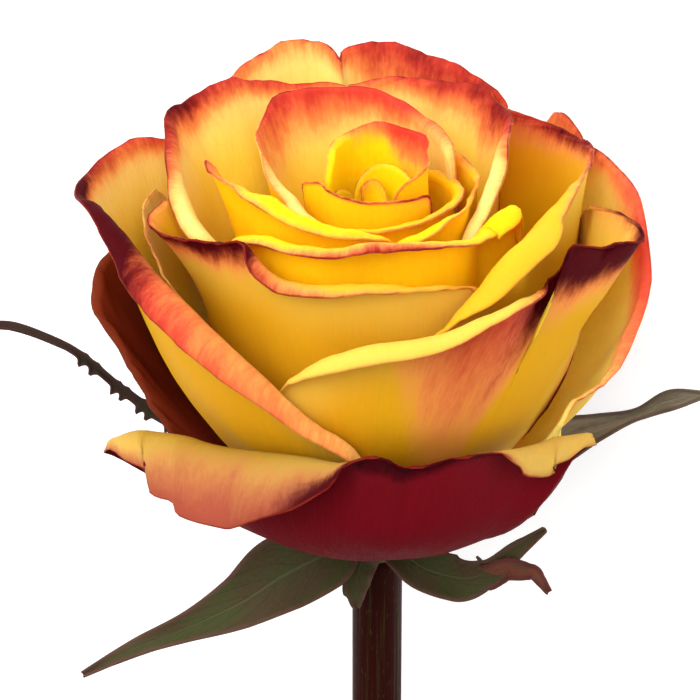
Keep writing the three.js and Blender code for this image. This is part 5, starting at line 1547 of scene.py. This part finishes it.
@dataclass
class Cane:
    """The stem with its prickles, and the compound leaves.

    Attributes:
        laying: How the bloom lies on the table.
        bark: The stem's material.
        leaf_face: The material of a leaf's upper face.
        leaf_back: The material of its lower face.
        radius: The stem's radius.
        reach: From the neck to the cut end, along the table.
        gap: Between the hip and the stem's first point.
        tuck: How far the stem's end reaches into the hip.
        hip_depth: Of the hip, below the petals.
        press_sides: Sides of the plain stem, which rests on one of them.
        prickles: Their places along the stem.
        prickle_length: Their length.
        prickle_root: Their radius at the bark.
        sweep: Angle between a leaf and the stem, in degrees.
        leaflet_width: Of a leaflet, as a share of its length.
        teeth: Teeth along each side of a leaflet.
        tooth_depth: Of a tooth, as a share of the width.
    """

    laying: Laying
    bark: bpy.types.Material
    leaf_face: bpy.types.Material
    leaf_back: bpy.types.Material
    radius: float = 3.9
    reach: float = 262.0
    gap: float = 0.3
    tuck: float = 0.15
    hip_depth: float = 7.0
    press_sides: int = 10
    prickles: tuple[float, ...] = (0.12, 0.2, 0.27, 0.42, 0.5, 0.63, 0.7, 0.84, 0.9)
    prickle_length: float = 5.2
    prickle_root: float = 2.6
    sweep: float = 38.0
    leaflet_width: float = 0.6
    teeth: int = 13
    tooth_depth: float = 0.075

    def controls(self) -> list[np.ndarray]:
        """Places the stem from the hip to its cut end on the table.

        Returns:
            The control points of its midline.
        """
        tilt = math.radians(self.laying.tilt)
        neck = self.laying.lay(np.array((0.0, 0.0, -self.hip_depth - self.gap)))
        way = np.array((-math.cos(tilt), 0.0, -math.sin(tilt)))
        low = self.radius * math.cos(math.pi / self.press_sides)
        end = np.array((neck[0] - self.reach, neck[1], low))
        return [neck, neck + way * self.reach * 0.42, end + np.array((self.reach * 0.36, 0, 0)), end]

    def stem(self) -> bpy.types.Object:
        """Makes the stem with its prickles.

        Returns:
            The piece.
        """
        t = np.linspace(0.0, 1.0, 220)
        line = bezier(self.controls(), t)
        line[0] += unit(line[0] - line[1]) * (self.gap + self.tuck)
        swell = 1 + 0.05 * np.exp(-(t / 0.01) ** 2)
        for leaf in LEAVES:
            swell = swell + 0.10 * np.exp(-((t - leaf.at) / 0.012) ** 2)
        tube = Tube(line, self.radius * swell * 0.985, 40, "rose_cane")
        tube.tracks["dusk"] = 0.95 - 0.8 * smooth(0.15, 0.8, t)
        parts = [tube.build((self.bark,))]
        for i, place in enumerate(self.prickles):
            centre = bezier(self.controls(), np.array([place]))[0]
            ahead = unit(bezier(self.controls(), np.array([place + 0.01]))[0] - centre)
            angle = math.radians(35 + 110 * (i % 2) + 17 * (i % 3))
            out = np.array((0.0, math.cos(angle), math.sin(angle)))
            root = centre + out * self.radius * 0.4
            tip = centre + out * (self.radius + self.prickle_length) + ahead * self.prickle_length * 0.35
            middle = (root + tip) / 2 - ahead * 0.5
            s = np.linspace(0.0, 1.0, 16)
            way = bezier([root, middle, tip], s)
            radii = self.prickle_root * (1 - s) ** 1.25 + 0.1
            thorn = Tube(way, radii, 14, f"prickle_{i}", spread=(0.7, 1.0))
            thorn.tracks["blush"] = s
            thorn.tracks["dusk"] = np.full(16, 0.5)
            parts.append(thorn.build((self.bark,)))
        piece = joined(parts, "rose_stem")
        settle(piece, "stem_maroon", "stem")
        return piece

    def leaflet(self, root: np.ndarray, heading: np.ndarray, length: float, droop: float,
                seed: float, name: str) -> bpy.types.Object:
        """Makes one toothed leaflet.

        Args:
            root: Where it starts.
            heading: Its direction on the table.
            length: Its length.
            droop: How much it rises and then droops.
            seed: A number that varies its pattern.
            name: The object's name.

        Returns:
            The leaflet's object.
        """
        side = unit(np.cross(heading, np.array((0.0, 0.0, 1.0))))
        t = np.linspace(0.0, 1.0, self.teeth * 8 + 1)
        widest = self.leaflet_width / 2 * length
        body = widest * np.sin(math.pi * np.minimum(1, t * 0.96 + 0.03) ** 0.8) ** 0.85
        saw = (t * self.teeth) % 1.0
        tooth = 1 + self.tooth_depth * (saw - 0.5) * smooth(0.0, 0.12, t) * (1 - smooth(0.93, 1.0, t))
        s = np.linspace(-1.0, 1.0, 19)
        rim = np.abs(s)[None, :] ** 6
        width = np.maximum(body, 0.45)[:, None] * (1 + (tooth[:, None] - 1) * rim)
        across = s[None, :] * width
        middle = root[None, :] + heading[None, :] * (t * length)[:, None]
        middle[:, 2] += droop * (t - t * t * 1.8) * length
        points = middle[:, None, :] + side[None, None, :] * across[..., None]
        wave = 0.5 * np.sin(t[:, None] * 16 + s[None, :]) * np.abs(s)[None, :]
        slant = t[:, None] * VEINS - VEIN_SLANT * np.abs(s)[None, :]
        quilt = 0.22 * np.abs(np.sin(slant * math.pi)) * (1 - rim) * np.minimum(1, 6 * np.abs(s))[None, :]
        points[..., 2] += 0.22 * np.abs(across) + wave + quilt
        points = points[:, ::-1]
        width = running_length(points, 1)
        edge = np.minimum(width, width[:, -1:] - width)
        along = np.broadcast_to(t[:, None], edge.shape)
        place = np.broadcast_to(-s[None, ::-1], edge.shape)
        seeds = np.full(edge.shape, seed)
        tracks = both_faces(edge=edge, rise=along, fan=place, seed=seeds)
        return Sheet(points, LEAF_THICKNESS, tracks).build(name, (self.leaf_back, self.leaf_face))

    def leaf(self, form: LeafForm) -> bpy.types.Object:
        """Makes one compound leaf on its stalk.

        Args:
            form: Where it grows and how large it is.

        Returns:
            The piece.
        """
        foot = bezier(self.controls(), np.array([form.at]))[0]
        back = unit(foot - bezier(self.controls(), np.array([form.at + 0.01]))[0])
        turn = math.radians(self.sweep)
        heading = unit(np.array((back[0] * math.cos(turn), form.side * math.sin(turn), 0.0)))
        start = foot + np.array((0.0, form.side * self.radius * 0.5, 0.6))
        end = start + heading * form.length
        end[2] = start[2] + form.rise * 0.6
        bow = (start + end) / 2
        bow[2] += form.rise * 0.45
        spine = [start, bow, end]
        s = np.linspace(0.0, 1.0, 40)
        stalk = Tube(bezier(spine, s), 1.5 - 0.7 * s + 0.8 * np.exp(-s * 24), 14, f"{form.node}_stalk")
        stalk.tracks["dusk"] = np.full(40, 0.45)
        parts = [stalk.build((self.leaf_back, self.leaf_face, self.bark))]
        parts[0].data.polygons.foreach_set("material_index", [2] * len(parts[0].data.polygons))
        tip = bezier(spine, np.array([0.97]))[0]
        parts.append(self.leaflet(tip, heading, form.leaflet, 0.16, form.at * 50, f"{form.node}_tip"))
        for pair in range(form.pairs):
            foot = bezier(spine, np.array([0.88 - 0.4 * pair]))[0]
            for hand in (-1, 1):
                away = np.array(Matrix.Rotation(math.radians(62 * hand), 3, "Z") @ Vector(heading))
                size = form.leaflet * (0.86 - 0.12 * pair)
                seed = form.at * 50 + pair + hand * 0.4
                name = f"{form.node}_{pair}_{hand + 1}"
                parts.append(self.leaflet(foot - away * 0.4, away, size, 0.12, seed, name))
        piece = joined(parts, f"rose_{form.node}")
        settle(piece, "leaf_green", form.node)
        return piece

    def build(self) -> list[bpy.types.Object]:
        """Makes the stem and the leaves and returns the pieces."""
        return [self.stem()] + [self.leaf(form) for form in LEAVES]


@dataclass
class Studio:
    """The pale floor, the soft lights and the camera that looks down on the rose.

    Attributes:
        laying: How the bloom lies on the table.
        look_at: The point that the camera looks at, in the bloom's frame.
        elevation: The camera's elevation above the bloom's own horizon, in degrees.
        distance: From the camera to that point, in millimetres.
        frame_width: Width of the view at that point, in millimetres.
    """

    laying: Laying
    look_at: tuple[float, float, float] = (-4.2, 0.0, 29.5)
    elevation: float = 33.0
    distance: float = 800.0
    frame_width: float = 105.0

    def axes(self) -> tuple[np.ndarray, np.ndarray, np.ndarray, np.ndarray]:
        """Works out where the camera looks from.

        Returns:
            The camera's target, and its backward, rightward and upward directions on the table.
        """
        e = math.radians(self.elevation)
        back = np.array((0.0, -math.cos(e), math.sin(e)))
        up = np.array((0.0, math.sin(e), math.cos(e)))
        right = np.array((1.0, 0.0, 0.0))
        turn = np.array(self.laying.matrix())[:3, :3]
        return self.laying.lay(np.array(self.look_at)), turn @ back, turn @ right, turn @ up

    def camera(self) -> bpy.types.Object:
        """Makes the camera at the photograph's viewing angle.

        Returns:
            The camera.
        """
        target, back, right, up = self.axes()
        data = bpy.data.cameras.new("camera")
        data.sensor_fit = "HORIZONTAL"
        data.sensor_width = 36.0
        data.lens = 36.0 * self.distance / self.frame_width
        data.clip_end = 20.0
        camera = bpy.data.objects.new("camera", data)
        place = (target + back * self.distance) * METRE
        turn = Matrix([[right[i], up[i], back[i]] for i in range(3)]).to_4x4()
        camera.matrix_world = Matrix.Translation(place) @ turn
        bpy.context.scene.collection.objects.link(camera)
        bpy.context.scene.camera = camera
        return camera

    def lamp(self, name: str, aside: float, above: float, ahead: float, power: float, size: float,
             tint: Colour) -> None:
        """Adds a square soft light aimed at the bloom.

        Args:
            name: The light's name.
            aside: How far to the right of the view, in metres.
            above: How far towards the top of the view, in metres.
            ahead: How far towards the camera, in metres.
            power: In watts.
            size: Of its side, in metres.
            tint: Its colour.
        """
        target, back, right, up = self.axes()
        data = bpy.data.lights.new(name, "AREA")
        data.energy = power
        data.size = size
        data.color = tint
        light = bpy.data.objects.new(name, data)
        place = Vector(target * METRE + right * aside + up * above + back * ahead)
        light.location = place
        light.rotation_euler = (place - Vector(target * METRE)).to_track_quat("Z", "Y").to_euler()
        bpy.context.scene.collection.objects.link(light)

    def floor(self) -> None:
        """Adds the plain pale floor."""
        mesh = bpy.data.meshes.new("floor")
        reach, low = 4.0, -0.0001
        corners = [(reach * x, reach * y, low) for x, y in ((-1, -1), (1, -1), (1, 1), (-1, 1))]
        mesh.from_pydata(corners, [], [(0, 1, 2, 3)])
        kit = NodeKit("studio floor")
        place = kit.node("ShaderNodeTexCoord").outputs["Object"]
        soft = kit.noise(place, 2.0)
        kit.link(kit.blend(kit.ease(soft, 0.3, 0.7, 0.0, 0.4), (0.93, 0.93, 0.93), (0.91, 0.91, 0.91)),
                 kit.surface.inputs["Base Color"])
        kit.set(Roughness=0.9, Specular_IOR_Level=0.1, Emission_Color=(1.0, 1.0, 1.0, 1.0),
                Emission_Strength=0.27)
        mesh.materials.append(kit.material)
        floor = bpy.data.objects.new("floor", mesh)
        bpy.context.scene.collection.objects.link(floor)

    def build(self) -> None:
        """Makes the floor, the lights and the camera."""
        self.floor()
        self.lamp("key", aside=-0.25, above=0.3, ahead=1.15, power=14.5, size=0.9, tint=(1.0, 0.985, 0.96))
        self.lamp("fill", aside=-0.9, above=0.35, ahead=0.7, power=9.0, size=1.2, tint=(0.98, 0.99, 1.0))
        self.lamp("side", aside=1.0, above=0.0, ahead=0.0, power=7.0, size=0.9, tint=(1.0, 0.99, 0.97))
        world = bpy.data.worlds.new("studio")
        world.use_nodes = True
        world.node_tree.nodes["Background"].inputs[0].default_value = (1.0, 1.0, 1.0, 1.0)
        world.node_tree.nodes["Background"].inputs[1].default_value = 0.74
        bpy.context.scene.world = world
        bpy.context.scene.view_settings.view_transform = "Standard"
        self.camera()


# The look of each ground colour
FINISHES: dict[Wash, PetalFinish] = {
    Wash.GOLD: PetalFinish(
        "petal gold", deep_and_shaded=(0.97, 0.38, 0.001), ground=(0.97, 0.54, 0.003), pale=(0.92, 0.48, 0.005),
        paling=0.75, subsurface=0.5),
    Wash.LEMON: PetalFinish(
        "petal lemon", deep_and_shaded=(0.97, 0.50, 0.001), ground=(0.97, 0.70, 0.003), pale=(0.93, 0.62, 0.004),
        paling=0.75, subsurface=0.6),
    Wash.AMBER: PetalFinish(
        "petal amber", deep_and_shaded=(0.94, 0.40, 0.001), ground=(0.90, 0.46, 0.004), pale=(0.80, 0.36, 0.018),
        paling=0.85),
    Wash.HONEY: PetalFinish(
        "petal honey", deep_and_shaded=(0.90, 0.42, 0.004), ground=(0.84, 0.48, 0.02), pale=(0.70, 0.45, 0.07),
        paling=0.95),
    Wash.SHEER: PetalFinish(
        "petal sheer", deep_and_shaded=(0.92, 0.72, 0.10), ground=(0.92, 0.76, 0.16), pale=(0.90, 0.70, 0.18),
        peach=(0.88, 0.34, 0.11), blush=(0.66, 0.09, 0.055), paling=0.9, subsurface=0.7),
    Wash.STRAW: PetalFinish(
        "petal straw", deep_and_shaded=(0.94, 0.48, 0.008), ground=(0.88, 0.60, 0.055), pale=(0.80, 0.59, 0.18),
        paling=0.95),
    Wash.BUFF: PetalFinish(
        "petal buff", deep_and_shaded=(0.54, 0.24, 0.003), ground=(0.55, 0.28, 0.007), pale=(0.66, 0.46, 0.07),
        peach=(0.66, 0.22, 0.05), blush=(0.44, 0.045, 0.018), paling=0.75),
    Wash.ROSY: PetalFinish(
        "petal rosy", deep_and_shaded=(0.26, 0.16, 0.010), ground=(0.30, 0.19, 0.022), pale=(0.46, 0.30, 0.065),
        peach=(0.38, 0.15, 0.045), blush=(0.27, 0.055, 0.030), paling=0.9),
    Wash.CRIMSON: PetalFinish(
        "petal crimson", deep_and_shaded=(0.105, 0.0015, 0.005), ground=(0.115, 0.0018, 0.0055),
        pale=(0.13, 0.003, 0.007), peach=(0.12, 0.003, 0.007), blush=(0.105, 0.002, 0.006),
        dusk=(0.04, 0.001, 0.003), line=(0.05, 0.002, 0.004), glow=(0.17, 0.006, 0.009), paling=0.5,
        subsurface=0.05, shine=0.02, relief=1.0),
    # Shaded russet: partly the petal's own red-brown, partly painted shade
    Wash.SHADED_RUSSET: PetalFinish(
        "petal russet", deep_and_shaded=(0.10, 0.008, 0.003), ground=(0.125, 0.014, 0.005),
        pale=(0.14, 0.022, 0.008), peach=(0.17, 0.035, 0.015), blush=(0.17, 0.02, 0.010),
        dusk=(0.05, 0.003, 0.003), line=(0.09, 0.02, 0.01), glow=(0.19, 0.03, 0.008), paling=0.5,
        subsurface=0.05, shine=0.02),
}

# Colours of a face: blade, veins, margin and clouded patches
Look = tuple[Colour, Colour, Colour, Colour]
LEAF_LOOKS: tuple[Look, Look] = (
    ((0.025, 0.075, 0.018), (0.075, 0.14, 0.045), (0.12, 0.05, 0.03), (0.035, 0.095, 0.022)),
    ((0.10, 0.17, 0.075), (0.17, 0.23, 0.12), (0.14, 0.08, 0.05), (0.12, 0.19, 0.09)),
)
# For each kind of sepal: its name, the looks of its face and back, and their roughness
SEPAL_LOOKS: dict[Skin, tuple[str, tuple[Look, Look], tuple[float, float]]] = {
    Skin.OLIVE: ("sepal", (
        ((0.034, 0.036, 0.008), (0.080, 0.074, 0.030), (0.10, 0.045, 0.035), (0.050, 0.028, 0.012)),
        ((0.040, 0.044, 0.013), (0.075, 0.078, 0.034), (0.09, 0.04, 0.03), (0.055, 0.032, 0.016)),
    ), (0.55, 0.6)),
    Skin.DARK: ("thin sepal", (
        ((0.020, 0.018, 0.010), (0.035, 0.03, 0.018), (0.05, 0.02, 0.018), (0.030, 0.014, 0.010)),
        ((0.022, 0.022, 0.011), (0.04, 0.035, 0.02), (0.05, 0.02, 0.018), (0.032, 0.018, 0.012)),
    ), (0.55, 0.6)),
    Skin.RUDDY: ("ruddy tip", (
        ((0.12, 0.03, 0.02), (0.18, 0.07, 0.045), (0.08, 0.02, 0.018), (0.08, 0.035, 0.018)),
        ((0.13, 0.035, 0.022), (0.18, 0.07, 0.045), (0.08, 0.02, 0.018), (0.085, 0.036, 0.02)),
    ), (0.55, 0.6)),
    Skin.DOWNY: ("downy sepal", (
        ((0.14, 0.13, 0.085), (0.20, 0.19, 0.13), (0.09, 0.06, 0.045), (0.10, 0.085, 0.055)),
        ((0.24, 0.21, 0.15), (0.30, 0.27, 0.20), (0.07, 0.045, 0.035), (0.10, 0.085, 0.055)),
    ), (0.65, 0.65)),
}


def two_faces(name: str, looks: tuple[Look, Look],
              gloss: tuple[float, float]) -> tuple[bpy.types.Material, bpy.types.Material]:
    """Makes the materials of the face and the back of a leaf or sepal.

    Args:
        name: What they are called.
        looks: The colours of each.
        gloss: The roughness of each.

    Returns:
        The two materials.
    """
    face, back = (LeafFinish(f"{name} {side}", *look, gloss=rough).material()
                  for side, look, rough in zip(("face", "back"), looks, gloss))
    return face, back


def laying_from_frame() -> Laying:
    """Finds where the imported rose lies, from the boxes of its hip and stem.

    Returns:
        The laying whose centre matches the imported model.
    """
    hip_low, hip_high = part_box("hip")
    stem_low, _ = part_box("stem")
    plain = Laying()
    neck = plain.lay(np.array((0.0, 0.0, -Cane.hip_depth - Cane.gap)))
    centre_x = stem_low[0] / METRE - (neck[0] - Cane.reach)
    centre_y = (hip_low[1] + hip_high[1]) / 2 / METRE
    return Laying(centre_x=centre_x, centre_y=centre_y)


def main() -> None:
    """Builds the dressed rose and its studio over the frame."""
    logging.basicConfig(level=logging.INFO, format="%(name)s: %(message)s")
    laying = laying_from_frame()
    materials = {wash: finish.material() for wash, finish in FINISHES.items()}
    for piece in Bloom(laying, materials).build():
        LOG.info("petal %s, %d faces", piece.name, len(piece.data.polygons))
    skins = {skin: two_faces(*look) for skin, look in SEPAL_LOOKS.items()}
    leaf_face, leaf_back = two_faces("leaf", LEAF_LOOKS, (0.36, 0.55))
    hip_finish = CaneFinish("hip skin", flushed=(0.05, 0.045, 0.02), green=(0.07, 0.12, 0.035)).material()
    bark = CaneFinish("stem bark").material()
    calyx = Calyx(laying, skins, hip_finish)
    LOG.info("hip %s", calyx.hip().name)
    for piece in calyx.sepals():
        LOG.info("sepal %s, %d faces", piece.name, len(piece.data.polygons))
    for piece in Cane(laying, bark, leaf_face, leaf_back).build():
        LOG.info("cane %s, %d faces", piece.name, len(piece.data.polygons))
    Studio(laying).build()


if __name__ == "__main__":
    main()
